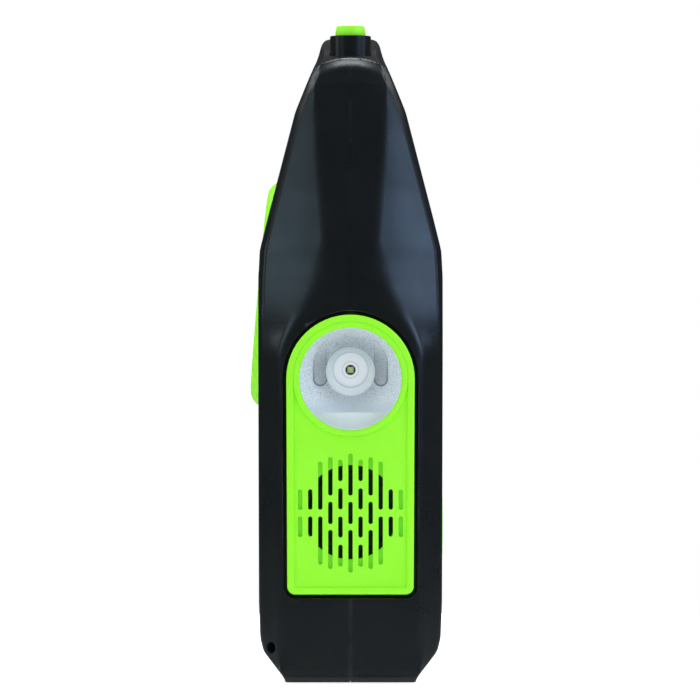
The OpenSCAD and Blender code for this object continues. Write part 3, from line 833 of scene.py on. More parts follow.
@dataclass(frozen=True)
class DisplayGlass(Finish):
    """Grey-green display with its resting segments just showing."""

    def pattern(self, sheet: Sheet, colour: object, rough: Signal, height: Signal) -> Look:
        """Four seven-segment figures 9.6 mm apart: strips 0.7 mm wide on a 5.4 by 10 mm figure."""
        x, _, z = sheet.axes()
        across = abs((x + 77.2).math("FLOORED_MODULO", 9.6) - 4.8)
        up = abs(z - DISPLAY[1])
        sides = abs(across - 2.6).fall(0.35, 0.42) * abs(up - 2.5).fall(2.0, 2.1)
        bars = abs(up - 5.0).least(up).fall(0.35, 0.42) * across.fall(2.1, 2.2)
        shown = sides.most(bars) * abs(x - DISPLAY[0]).fall(19.0, 19.2, 0.5)
        return sheet.coats(colour, (shown, (0.05, 0.06, 0.05))), rough, height


@dataclass(frozen=True)
class Banded(Finish):
    """Finish with fine lines across X: a winding or a wrapped label."""

    pitch: float = 0.6
    # depth: share of the painted shade in the wave's troughs.
    depth: float = 0.5

    def pattern(self, sheet: Sheet, colour: object, rough: Signal, height: Signal) -> Look:
        """Height and colour follow a triangle wave of the given pitch along X; the colour darkens in the
        troughs, painted shade.
        """
        wave = sheet.axes()[0].swing(self.pitch / 2).math("DIVIDE", self.pitch / 2)
        # Painted shade: darker in the wave's troughs, where the height is lowest.
        dark = tuple(c * 0.25 for c in self.colour)
        return sheet.coats(colour, ((1.0 - wave) * self.depth, dark)), rough, wave * 2.0 + height


@dataclass(frozen=True)
class Brushed(Finish):
    """Metal with long fine brush lines along Z."""

    def pattern(self, sheet: Sheet, colour: object, rough: Signal, height: Signal) -> Look:
        """Noise drawn out along the brushed way."""
        lines = sheet.noise(6000.0, 2.0, 0.5, (1.0, 1.0, 0.02))
        return colour, rough + lines.ramp(0.3, 0.7, -0.05, 0.08), lines


@dataclass(frozen=True)
class CircuitBoard(Finish):
    """Green lacquer over copper tracks and tinned pads."""

    def pattern(self, sheet: Sheet, colour: object, rough: Signal, height: Signal) -> Look:
        """Tracks every 2.4 mm, broken by noise, and round pads on a 4.8 mm grid."""
        x, _, z = sheet.axes()
        broken = sheet.noise(90.0, 1.0).ramp(0.48, 0.52)
        track = (z + broken * 3.0).swing(1.2).fall(0.25, 0.35) * broken
        pad = span_of(x.swing(2.4), z.swing(2.4)).fall(0.45, 0.55) * (1.0 - broken)
        colour = sheet.coats(colour, (track, (0.05, 0.22, 0.09)), (pad, (0.62, 0.63, 0.6)))
        return colour, rough, height + track


BLACK = Finish(
    "shell_black", (0.0052, 0.0078, 0.0088), roughness=0.3, scale=2600, bump=0.05, tone=0.18,
    uneven=0.07, wear=0.12, dust=0.01,
)
GREEN = Finish(
    "accent_green", (0.30, 0.93, 0.010), roughness=0.42, scale=2200, bump=0.04, tone=0.05, wear=0.03,
    dust=0.01,
)
CLEAR = ClearCover("clear_cover", (1.0, 1.0, 1.0), roughness=0.03)
# The dish is mostly diffuse (metallic 0.08) with glow 0.1: its bright colour is painted reflection and its
# faint glow is a painted glow.
SILVER = StippledReflector(
    "reflector_silver", (0.90, 0.95, 1.0), metallic=0.08, scale=3000, bump=0.7, tone=0.1, uneven=0.1,
    wear=0, dust=0, glow=0.1,
)
FROSTED = FrostedHolder(
    "frosted_white", (0.79, 0.83, 0.89), roughness=0.5, scale=5200, bump=0.12, tone=0.06, uneven=0.1,
    wear=0, dust=0,
)
PHOSPHOR = LampChip(
    "phosphor", (0.62, 0.78, 0.30), roughness=0.5, scale=6000, bump=0.2, tone=0.2, uneven=0.1, wear=0,
    dust=0,
)
HEAT_SINK = Brushed("heat_sink", (0.62, 0.63, 0.64), roughness=0.38, metallic=1.0, scale=2000, bump=0.15)
SPEAKER = Finish(
    "speaker_black", (0.02, 0.021, 0.022), roughness=0.55, metallic=0.3, scale=1600, bump=0.12,
)
CONE = Finish(
    "cone_paper", (0.035, 0.037, 0.04), roughness=0.85, scale=900, bump=0.5, tone=0.3, uneven=0.1,
    wear=0.05, dust=0.05,
)
MAGNET = Brushed("magnet_steel", (0.5, 0.5, 0.51), roughness=0.42, metallic=1.0, scale=2000, bump=0.2)
GRILLE = Finish(
    "grille_black", (0.014, 0.016, 0.018), roughness=0.45, scale=1800, bump=0.12, tone=0.2, uneven=0.1,
    wear=0.3,
)
WINDOW = SmokedWindow("window_black", (0.006, 0.007, 0.008), roughness=0.06)
LCD = DisplayGlass(
    "lcd_glass", (0.36, 0.42, 0.33), roughness=0.3, scale=900, bump=0.03, tone=0.08, uneven=0.1,
    wear=0, dust=0,
)
BOARD = CircuitBoard("board_green", (0.015, 0.12, 0.05), roughness=0.35, bump=0.3)
KEY = Finish(
    "key_grey", (0.50, 0.53, 0.55), roughness=0.45, scale=2400, bump=0.1, tone=0.08, uneven=0.1,
    wear=0.1,
)
PART_METAL = Brushed(
    "component_metal", (0.6, 0.61, 0.62), roughness=0.35, metallic=1.0, scale=2000, bump=0.15,
)
CELL_LABEL = Banded(
    "cell_label", (0.55, 0.42, 0.06), roughness=0.35, metallic=0.2, bump=0.05, tone=0.1, uneven=0.1,
    wear=0.1, dust=0, pitch=30.0, depth=0.35,
)
CELL_BLUE = Finish("cell_blue", (0.03, 0.12, 0.42), roughness=0.3, bump=0.05)
SOLAR = SolarCells(
    "solar_glass", (0.006, 0.012, 0.05), roughness=0.2, scale=2000, bump=0.02, tone=0.1, uneven=0.05,
    wear=0, coat=1.0,
)
STEEL = Brushed("shaft_steel", (0.56, 0.57, 0.58), roughness=0.28, metallic=1.0, scale=2000, bump=0.15)
NYLON = Finish("gear_nylon", (0.78, 0.76, 0.68), roughness=0.45, scale=1800, bump=0.06)
BRASS = Brushed("rotor_brass", (0.68, 0.48, 0.18), roughness=0.3, metallic=1.0, scale=2000, bump=0.15)
CHROME = Brushed(
    "antenna_chrome", (0.74, 0.76, 0.79), roughness=0.26, metallic=0.6, scale=2000, bump=0.06,
    tone=0.05, uneven=0.06, wear=0, dust=0,
)
RUBBER = Finish(
    "rubber_black", (0.018, 0.019, 0.02), roughness=0.72, scale=1300, bump=0.35, tone=0.25, uneven=0.1,
    dust=0.06,
)
FERRITE = Finish("ferrite_grey", (0.05, 0.05, 0.052), roughness=0.6, bump=0.3)
COPPER = Banded(
    "copper_wire", (0.72, 0.28, 0.10), roughness=0.3, metallic=1.0, bump=0.5, tone=0.1, uneven=0.1,
    wear=0, dust=0, pitch=0.5, depth=0.7,
)
SCREW = Brushed("screw_steel", (0.45, 0.46, 0.47), roughness=0.35, metallic=1.0, scale=2000, bump=0.15)
KEY_ACCENT = Finish(
    "key_green", (0.31, 0.90, 0.014), roughness=0.45, scale=2400, bump=0.06, tone=0.05, wear=0.1,
    dust=0.01, slot="accent_green",
)
RUBBER_ARM = Finish("arm_black", (0.016, 0.018, 0.02), scale=1800, slot="rubber_black")


def show(name: str, shape: Shape, body: str, node: str, finish: Finish, sharp: float = 38) -> None:
    """Makes a finished piece.

    Args:
        name: The piece's name.
        shape: Its surface.
        body: The CAD body that it rides on.
        node: The CAD node that it replaces.
        finish: Its finish.
        sharp: Angle in degrees past which an edge stays sharp.
    """
    mesh = mesh_of(name, shape)
    mesh.shade_smooth()
    mesh.set_sharp_from_angle(angle=math.radians(sharp))
    mesh.materials.append(finish.material())
    made = placed(name, mesh)
    made.modifiers.new("shading", "WEIGHTED_NORMAL").keep_sharp = True
    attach(made, body)
    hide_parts(node)
    finish.slot or finish.name
    log.info("%s: %d faces in %s", name, len(mesh.polygons), finish.name)


def dress(finish: Finish, *nodes: str) -> None:
    """Gives CAD nodes their finish as they stand."""
    for name in nodes:
        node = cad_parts[name]
        node.data.materials.clear()
        node.data.materials.append(finish.material())
        finish.slot or finish.name
        log.info("%s: CAD node in %s", name, finish.name)


# ---------------------------------------------------------------- casing


def ease(z: Array, a: float, b: float) -> Array:
    """Smooth step u^2 (3 - 2u), with u running from 0 at a to 1 at b."""
    u = np.clip((np.asarray(z, float) - a) / (b - a), 0, 1)
    return u * u * (3 - 2 * u)


@dataclass
class Casing:
    """The two shells, lofted from one section and parted at Y = 0."""

    end_x: float = 105.0
    half_d: float = 28.4
    height: float = 202.0
    crown_z: float = 192.0
    crown_x: float = 83.0
    flat_low: float = 21.3
    wall: float = 2.2
    hole: tuple[float, float, float] = (100.0, 161.5, 187.5)
    hole_edge: float = 2.6
    screws: Pairs = ((-92, 22), (92, 22), (-90, 128), (90, 128), (-60, 172), (60, 172))
    knobs: Pairs = ((20, 44), (58, 44))
    keys: tuple[float, ...] = (10, 24, 38, 52, 66)
    speaker: tuple[float, float] = (-48, 62)
    softness: float = 1.5
    depths: Pairs = (
        (0, 19.8), (2, 20.8), (9, 26.6), (13, 27.7), (24, 28.1), (124, 28.4), (132, 28.0), (141, 25.8),
        (175, 17.1), (184, 13.5), (190, 11), (194, 9.8), (198, 9), (202, 7.4),
    )
    setbacks: Pairs = (
        (0, 1.2), (2, 0), (112, 0), (122, 1), (134, 3), (150, 6.8), (168, 12), (184, 16.6), (189, 19),
        (192, 22),
    )

    def soft_line(self, z: Array, table: Pairs) -> Array:
        """Broken line through the table, its corners softened by a running mean over twice `softness`."""
        xs, ys = np.asarray(table, float).T
        shift = np.linspace(-1, 1, 9) * self.softness
        weight = 1.02 - np.abs(np.linspace(-1, 1, 9))
        return np.tensordot(weight / weight.sum(), np.stack([np.interp(z + s, xs, ys) for s in shift]), 1)

    def half_depth(self, z: Array) -> Array:
        """Half the casing's depth at height z, the crown's top edge rounded by 2.6 mm."""
        over = np.clip((z - (self.height - 2.6)) / 2.6, 0, 1)
        return self.soft_line(z, self.depths) - 2.6 * (1 - np.sqrt(1 - over**2))

    def half_length(self, z: Array) -> Array:
        """Half the casing's length at height z: a leaning end, then the crown's parabola."""
        below_top = np.clip((self.height - z) / (self.height - self.crown_z), 0.0004, None)
        crown = self.crown_x * np.minimum(np.sqrt(below_top), 1)
        return np.where(z <= self.crown_z, self.end_x - self.soft_line(z, self.setbacks), crown)

    def section(self, z: Array, inset: float) -> Array:
        """Plan section at each height.

        A quarter runs from the end's flat or ridge over the chamfer's middle to the crease and the long side;
        the other quarters mirror it. Corners are rounded and long sides get points between. The shoulder is
        arched: a point stands where the middle one stands 2.7 (y / 10.5)^2 higher up.

        Args:
            z: Heights.
            inset: Distance inside the skin.

        Returns:
            Points by height, place and coordinate.
        """
        w, lx = self.half_depth(z), self.half_length(z) - inset
        k = ease(z, 98, 130)
        ridge = 5 + 6 * (z - 105) / 80
        y1 = (1 - k) * np.minimum(self.flat_low, w - 0.4) + k * np.minimum(ridge, w - 3) - 0.41 * inset
        run = (1 - k) * np.maximum(0.3, w - self.flat_low) + k * 0.42 * (w - ridge)
        y3 = w - 0.7 - 0.9 * k - inset
        quarter = np.stack([
            np.stack([lx, y1], -1),
            np.stack([lx - (0.5 - 0.08 * k) * run, (y1 + y3) / 2], -1),
            np.stack([lx - 0.94 * run, y3], -1),
            np.stack([lx - run - (0.9 + 1.3 * k), w - inset], -1),
        ], 1)
        quarter[..., 0] = np.maximum(quarter[..., 0], 0.02)
        turn = quarter[:, ::-1]
        corners = np.concatenate([quarter, turn * (-1, 1), quarter * (-1, -1), turn * (1, -1)], 1)
        melt = ease(z, 90, 104) * (1 - ease(z, 118, 136))
        soft = np.stack([2.4 + 7 * melt, 6.0 + 0 * z, 1.1 + 0 * z, 2.2 + 0 * z], 1)
        curve = rounded(corners, np.concatenate([soft, soft[:, ::-1]] * 2, 1), 6, loop=True)
        blocks = []
        for i in range(16):
            blocks.append(curve[:, i])
            if i % 4 == 3:
                t = np.linspace(0, 1, 22)[1:-1, None]
                blocks.append(curve[:, i, -1][:, None] * (1 - t) + curve[:, (i + 1) % 16, 0][:, None] * t)
        flat = np.concatenate(blocks, 1)
        arched = 2.7 * ease(z, 168, 187) * (1 - ease(z, 191, 197))
        level = z[:, None] + arched[:, None] * np.minimum(np.abs(flat[..., 1]) / 10.5, 1) ** 2
        flat[..., 0] *= self.half_length(level) / self.half_length(z)[:, None]
        return flat

    def loft(self, z: Array, inset: float) -> Shape:
        """Closed solid through the sections at heights z."""
        flat = self.section(z, inset)
        return woven(lifted(flat, np.broadcast_to(z[:, None], flat.shape[:2])), caps=True)

    def levels(self) -> Array:
        """Heights of the outer sections, close together where the skin bends."""
        s = np.linspace(0, 1, 30)[1:]
        return np.concatenate([
            [0, 0.35, 0.8, 1.4, 2.1, 3, 4.2, 5.6, 7, 8.2, 9.2, 10.2, 11.4, 12.6, 13.8, 15.5, 18, 21, 24, 27],
            np.arange(34, 97, 8), np.arange(98, 183, 1.7), np.arange(183.2, self.crown_z - 0.1, 0.42),
            [self.crown_z], self.crown_z + (self.height - self.crown_z) * (1 - (1 - s) ** 2),
        ])

    def over(self, seat: Seat, end: bool = False) -> Heights:
        """Height of the skin above a seat.

        Args:
            seat: The frame to measure from.
            end: True for a seat that looks out of an end.

        Returns:
            A function of local points. It steps h by what is missing to |y| = half depth, or at an end to
            |x| = half length.
        """
        axis = 0 if end else 1
        limit = self.half_length if end else self.half_depth

        def heights(flat: Array) -> Array:
            """Heights of the skin over local points."""
            h = np.full(flat.shape[:-1], 20.0 if abs(seat.origin[axis]) < 1 else 0.0)
            for _ in range(14):
                spot = seat.out(lifted(flat, h))
                h = h + (limit(spot[..., 2]) - np.abs(spot[..., axis])) / abs(seat.axes[2][axis])
            return h

        return heights

    def through(self) -> Shape:
        """Cutter of the hand hole, rounded by `hole_edge` at both faces."""
        w, z0, z1 = self.hole
        mid = (z0 + z1) / 2
        outline = tablet(w, z1 - z0, 10, steps=12)
        edge = lip(self.hole_edge, 0.05, 9)
        rows = np.vstack([edge, [self.hole_edge, 14]])
        flat = np.stack([outline.at(g) for g in rows[:, 0]])
        face = self.half_depth(mid + flat[..., 1])
        near = face + rows[:, 1:]
        near[-1] = 40
        grid = np.concatenate([lifted(flat, -near)[::-1], lifted(flat, near)])
        return woven(front(0, mid).out(grid), caps=True)

    def room_inside(self) -> Shape:
        """The hollow inside both shells, with the blocks that stand in it left whole."""
        z = np.array([self.wall, 9, 13, 24, 60, 100, 108, 116, 124, 132, 141, 150, 168, 175, 184, 186.6])
        work = Work("hollow", self.loft(z, self.wall))
        w, z0, z1 = self.hole
        grow = self.wall + 0.6
        work.cut(drum(front(0, (z0 + z1) / 2), tablet(w + 2 * grow, z1 - z0 + 2 * grow, 10 + grow), -40, 40))
        work.cut(pillow(lamp_end(0), arch(), [(2.6, 100.2), (2.6, 103.2)]))
        work.cut(drum(port_end(PORTS_Z), tablet(35, 57, 5), 100.2, 103.2))
        for x, y in self.screws:
            work.cut(post(front(x, y), 3.8, -40, 40, steps=24))
        for x, y in self.knobs:
            work.cut(post(front(x, y), 16, 20.6, 40))
        work.cut(post(CRANK, 40.4, -11.8, 30, steps=72))
        work.cut(drum(SLOPE, tablet(108, 28, 1), -3.8, 8))
        work.cut(block((-105, 19.5, -5), (-89, 39.5, 16)))
        return work.shape()

    def strap_bores(self) -> list[Shape]:
        """Two short bores that meet behind the lower rear corner."""
        q = math.sqrt(0.5)
        corner = Seat((-101.9, 24.4, 10.4), ((0, 0, -1), (q, q, 0), (q, -q, 0)))
        return [post(corner, 1.9, -5, 8), post(tilted(-95.8, 23.3, 4.4, 52), 1.9, -6, 7)]

    def seam(self) -> Shape:
        """Thin slab along the parting plane, less a loft that leaves it 0.5 mm deep."""
        slab = Work("seam", block((-120, -0.07, -5), (120, 0.07, 230)))
        return slab.cut(self.loft(self.levels()[1:-6], 0.5)).shape()

    def build(self) -> None:
        """Cuts both shells."""
        whole = Work("casing", self.loft(self.levels(), 0)).cut(self.room_inside(), self.through())
        lamp, port = lamp_end(0), port_end(0)
        gap = arch()
        gap = Outline(gap.centres, gap.ways, gap.radii + 1.1)
        whole.cut(hollow(lamp, gap, PANEL_SEAT, self.over(lamp, True), 0.45))
        whole.cut(post(lamp_end(LAMP_Z), 17.6, 97, 107), post(lamp_end(SIREN_Z), SIREN_R, 97, 107))
        whole.cut(hollow(port, tablet(30.6, 52.6, 3.3, 0, PORTS_Z), PANEL_SEAT, self.over(port, True), 0.45))
        whole.cut(drum(port, tablet(13, 10, 1, 0, SOCKET_Z), 97, 107), post(port_end(JACK_Z), 4.3, 97, 107))
        whole.cut(drum(upright(0, 0), tablet(120.4, 30.4, 6.2), -1, 1.2))
        whole.cut(*self.strap_bores())
        well = upright(ANTENNA_X, 0)
        whole.cut(post(well, 4.6, 60, 210), post(well, 6.52, 190.65, 210))
        whole.cut(self.seam())
        both = whole.shape()
        self.front_shell(both)
        self.rear_shell(both)

    def front_shell(self, both: Shape) -> None:
        """Cuts and shows the front shell."""
        work = Work("front", both).apply(block((-120, -80, -5), (120, 0, 230)), Cut.COMMON)
        for x, z in self.screws:
            work.cut(post(front(x, z), 1.45, -1, 14, steps=24))
        sx, sz = self.speaker
        flat = self.over(front(0, 0))
        work.cut(hollow(front(sx, sz), ring(29.6, 128), 10, self.half_d, 0.7))
        work.cut(drum(front(*DISPLAY), tablet(58, 22, 1.5), 10, 40))
        work.cut(hollow(front(0, 0), tablet(66.3, 28.3, 3, *DISPLAY), self.half_d - 1.3, flat, 0.35))
        for x in self.keys:
            work.cut(hollow(front(0, 0), ring(4.6, 64, x, KEYS_Z), 10, flat, 0.45))
        for x, z in self.knobs:
            work.cut(hollow(front(0, 0), ring(14.2, 96, x, z), self.half_d - 6, flat, 0.8))
            work.cut(post(front(x, z), 3.6, 10, 40))
        work.cut(hollow(SLOPE, tablet(104.4, 24.4, 1.4), -1.8, self.over(SLOPE), 0.35))
        show("front_casing", work.shape(), "casing", "front_shell", BLACK, 34)

    def rear_shell(self, both: Shape) -> None:
        """Cuts and shows the rear shell."""
        work = Work("rear", both).apply(block((-120, 0, -5), (120, 80, 230)), Cut.COMMON)
        for x, z in self.screws:
            seat = back(x, z)
            work.cut(post(seat, 1.6, -1, 19, steps=24))
            work.cut(hollow(seat, ring(2.6, 40), 8, self.over(seat), 0.35))
        work.cut(hollow(CRANK, ring(38.2, 144), -9.8, self.over(CRANK), 0.9, 20))
        work.cut(post(CRANK, 3.06, -30, 0))
        work.cut(hollow(back(0, 0), tablet(65.8, 39.9, 0.9, 0, -39.95), 20, self.over(back(0, 0)), 0.3))
        work.cut(post(DOOR_HINGE, 0.7, -34.8, 34.8, steps=24))
        show("rear_casing", work.shape(), "casing", "rear_shell", BLACK, 34)


# ---------------------------------------------------------------- lamp end


@dataclass
class LampEnd:
    """Green arched panel with the lamp over a slotted siren outlet."""

    pitch: float = 3.07
    slot_w: float = 1.3
    field_h: float = 104.8
    bezel_h: float = 105.7
    columns: tuple[Pairs, ...] = (
        ((5.1, 17.9), (-3.6, 3.2), (-18.3, -5.4)),
        ((9.5, 16), (0.9, 7.3), (-7.7, -1.3), (-16.5, -9.9)),
        ((5.1, 16.8), (-3.6, 3.2), (-17.2, -5.4)),
        ((0.8, 15.4), (-15.9, -1.3)),
        ((0.8, 7), (-7.4, -1.3)),
        ((0.8, 6.9), (-7.5, -1.3)),
    )

    def slots(self, seat: Seat) -> Shape:
        """Cutters of all siren slots, columns mirrored about the middle one."""
        w, made = self.slot_w, []
        for c, column in enumerate(self.columns):
            for side in (1, -1)[: 2 if c else 1]:
                for low, high in column:
                    outline = tablet(w, high - low, w / 2 - 0.01, side * c * self.pitch, (low + high) / 2, 5)
                    made.append(hollow(seat, outline, 103.4, self.field_h, 0.14, 3))
        return together(made)

    def panel(self) -> None:
        """The panel: a raised border and lamp bezel round a flat field."""
        seat, lamp = lamp_end(0), lamp_end(LAMP_Z)
        field, top = self.field_h, self.bezel_h
        rows = [(0, PANEL_SEAT), (0, PANEL_TOP), (-2.0, PANEL_TOP), (-2.45, field), (-2.48, field)]
        work = Work("panel", pillow(seat, arch(), rounded(rows, [0, 0.75, 0.5, 0, 0])))
        rows = [(0, 102.4), (17.7, 102.4), (17.7, field), (17.35, top), (15.0, top), (15.0, 103), (0, 103)]
        work.join(turned(lamp, rounded(rows, [0, 0, 0, 0.5, 0.1, 0, 0]), 128))
        work.cut(hollow(lamp, ring(15.6, 128), 99, top, 0.9), post(lamp, 16.8, 99, 103.8, steps=96))
        siren = lamp_end(SIREN_Z)
        work.cut(post(siren, SIREN_R, 101, 103.5, steps=96), self.slots(siren))
        show("lamp_panel_moulding", work.shape(), "casing", "lamp_panel", GREEN, 40)

    def lens(self) -> None:
        """Clear cover, a thin disc with softened rims."""
        disc = post(lamp_end(LAMP_Z), 16.7, 102.25, 103.65, 0.3, 96)
        show("lamp_cover", disc, "casing", "lamp_lens", CLEAR)

    def reflector(self) -> None:
        """Dish whose centre climbs and whose radius shrinks from mouth to holder, cut straight below."""
        lamp = lamp_end(LAMP_Z)
        rows = [(0, 86.2), (17.3, 86.2), (17.3, 102.1), (15.6, 102.1), (15.6, 101.0), (0, 101.0)]
        work = Work("reflector", turned(lamp, rounded(rows, [0, 0.4, 0.3, 0.3, 0.2, 0]), 128))
        depth = np.concatenate([[-0.5], np.linspace(0, 1, 22)])
        s = np.clip(depth, 0, 1)
        mouth = 15.35 * np.sqrt(1 - 0.815 * s**1.35)
        lift = 0.1 + (LED_Z - LAMP_Z - 0.1) * s**0.8
        bowl = polar(mouth[:, None], full_turn(128), 101.0 - 13.2 * depth[:, None])
        bowl[..., 1] += lift[:, None]
        tool = Work("bowl", woven(lamp.out(bowl), caps=True))
        tool.cut(drum(lamp, tablet(60, 40, 0.01, 0, -30.3), 80, 110))
        work.cut(tool.shape())
        work.cut(post(lamp_end(LED_Z), 6.6, 85, 95))
        show("lamp_dish", work.shape(), "casing", "lamp_reflector", SILVER, 40)

    def holder(self) -> None:
        """Frosted holder: a flared stem, a soft front rim and a sunk, brighter middle with the LED's hole."""
        seat = lamp_end(LED_Z)
        rows = [(0, 84.5), (6.3, 84.5), (6.3, 91.2), (7.6, 94.2), (7.6, 95.75), (6.2, 96.0), (0, 96.0)]
        work = Work("holder", turned(lamp_end(LED_Z - 0.5), rounded(rows, [0, 0.3, 0.5, 0.5, 0.5, 0.6, 0])))
        work.cut(hollow(seat, ring(5.4, 96), 95.0, 96.0, 0.3, 4))
        rows = [(0, 94), (2.6, 94), (2.6, 95.1), (2.35, 95.16), (0, 95.16)]
        work.join(turned(seat, rounded(rows, [0, 0.1, 0.15, 0.1, 0]), 64))
        work.cut(hollow(seat, ring(1.5, 48), 93, 95.16, 0.2, 4), post(seat, 2.6, 80, 92.4))
        show("lamp_holder", work.shape(), "casing", "led_holder", FROSTED, 40)

    def build(self) -> None:
        """Makes the end's pieces."""
        self.panel()
        self.lens()
        self.reflector()
        self.holder()
        dress(PHOSPHOR, "led_emitter")
        dress(HEAT_SINK, "led_board")
        dress(SPEAKER, "siren_frame")
        dress(CONE, "siren_cone")
        dress(MAGNET, "siren_magnet")


# ---------------------------------------------------------------- front


@dataclass
class FrontControls:
    """Speaker, display, keys, knobs and solar panel."""

    casing: Casing
    knob_r: float = 13.0
    flutes: int = 36

    def grille(self) -> None:
        """Slightly domed disc with a raised rim, drilled in four rings of round holes."""
        x, z = self.casing.speaker
        seat = front(x, z)
        r = np.linspace(0, 26.6, 20)[1:]
        dome = np.stack([r, 28.15 - 0.9 * (r / 26.6) ** 2], -1)
        rows = [(26.6, 27.25), (27.0, 27.2), (27.5, 28.2), (29.3, 28.2), (29.3, 25.7), (0, 25.7)]
        rim = rounded(rows, [0.1, 0.1, 0.3, 0.5, 0.2, 0])
        work = Work("grille", turned(seat, np.vstack([[0, 28.15], dome[:-1], rim]), 144))
        drills = []
        for n in range(5):
            level = 28.15 - 0.9 * (5.8 * n / 26.6) ** 2
            for a in full_turn(max(6 * n, 1)).tolist():
                outline = ring(1.7, 20, 5.8 * n * math.cos(a), 5.8 * n * math.sin(a))
                drills.append(hollow(seat, outline, 24, level, 0.35, 3))
        work.cut(together(drills))
        show("speaker_grille_disc", work.shape(), "casing", "speaker_grille", GRILLE, 40)

    def window(self) -> None:
        """Display window with softened edges."""
        rows = rounded([(-0.3, 27.15), (0, 27.15), (0, 28.4), (-2, 28.4)], [0, 0.1, 0.35, 0])
        cover = pillow(front(0, 0), tablet(66, 28, 2.8, *DISPLAY), rows)
        show("display_cover", cover, "casing", "display_window", WINDOW)

    def keys(self) -> None:
        """Five round keys with a domed cap, a flange behind the skin and a stem."""
        rows = [
            (0, 16), (1.5, 16), (1.5, 24.7), (5.6, 24.7), (5.6, 26.0),
            (4.4, 26.1), (4.4, 28.95), (3.3, 29.35), (1.8, 29.15), (0, 29.05),
        ]
        profile = rounded(rows, [0, 0.3, 0.2, 0.2, 0.2, 0.2, 0.7, 0.9, 0.9, 0])
        for x, name in zip(self.casing.keys, ("power", "band", "scan", "lamp", "siren")):
            finish = KEY_ACCENT if name in ("power", "siren") else KEY
            key = f"key_{name}"
            show(f"{name}_key_cap", turned(front(x, KEYS_Z), profile, 72), key, key, finish)

    def knob(self, place: tuple[float, float]) -> Shape:
        """Fluted knob: radius less 0.55 (1 - |sin(18 a)|^0.7), fading at its front edge, with a sunk face."""
        r = self.knob_r
        rows = [
            (0, 22.7), (r - 0.4, 22.7), (r, 23.1), (r, 29.0),
            (11.6, 30.25), (9.6, 30.3), (8.8, 29.65), (0, 29.45),
        ]
        rows = rounded(rows, [0, 0.3, 0.3, 1.2, 0.8, 0.5, 0.5, 0], 5)
        a = full_turn(self.flutes * 8)
        wave = 0.55 * (1 - np.abs(np.sin(a * self.flutes / 2)) ** 0.7)
        grip = wave * ease(rows[:, 0], 11.2, 12.9)[:, None]
        seat = front(*place)
        work = Work("knob", woven(seat.out(polar(rows[:, :1] - grip, a, rows[:, 1:]))))
        work.join(post(seat, 3, 8.4, 24, 0.3))
        work.cut(hollow(seat, tablet(1.3, 7.2, 0.6, 0, 9.3), 28.9, 30.3, 0.15, 3))
        return work.shape()

    def solar(self) -> None:
        """Flush solar panel on the sloping face."""
        rows = rounded([(-0.3, -1.75), (0, -1.75), (0, 0.05), (-1, 0.05)], [0, 0.1, 0.25, 0])
        show("solar_cover", pillow(SLOPE, tablet(104, 24, 1.2), rows), "casing", "solar_panel", SOLAR)

    def build(self) -> None:
        """Makes the front's pieces."""
        self.grille()
        self.window()
        self.keys()
        for place, body in zip(self.casing.knobs, ("tuning", "volume")):
            show(f"{body}_dial", self.knob(place), body, f"{body}_knob", GREEN, 40)
        self.solar()
        dress(SPEAKER, "speaker_frame")
        dress(CONE, "speaker_cone")
        dress(MAGNET, "speaker_magnet")
        dress(LCD, "lcd_module")
        dress(BOARD, "main_board")
        dress(PART_METAL, "tuning_encoder", "volume_pot")


# ---------------------------------------------------------------- crank and dynamo


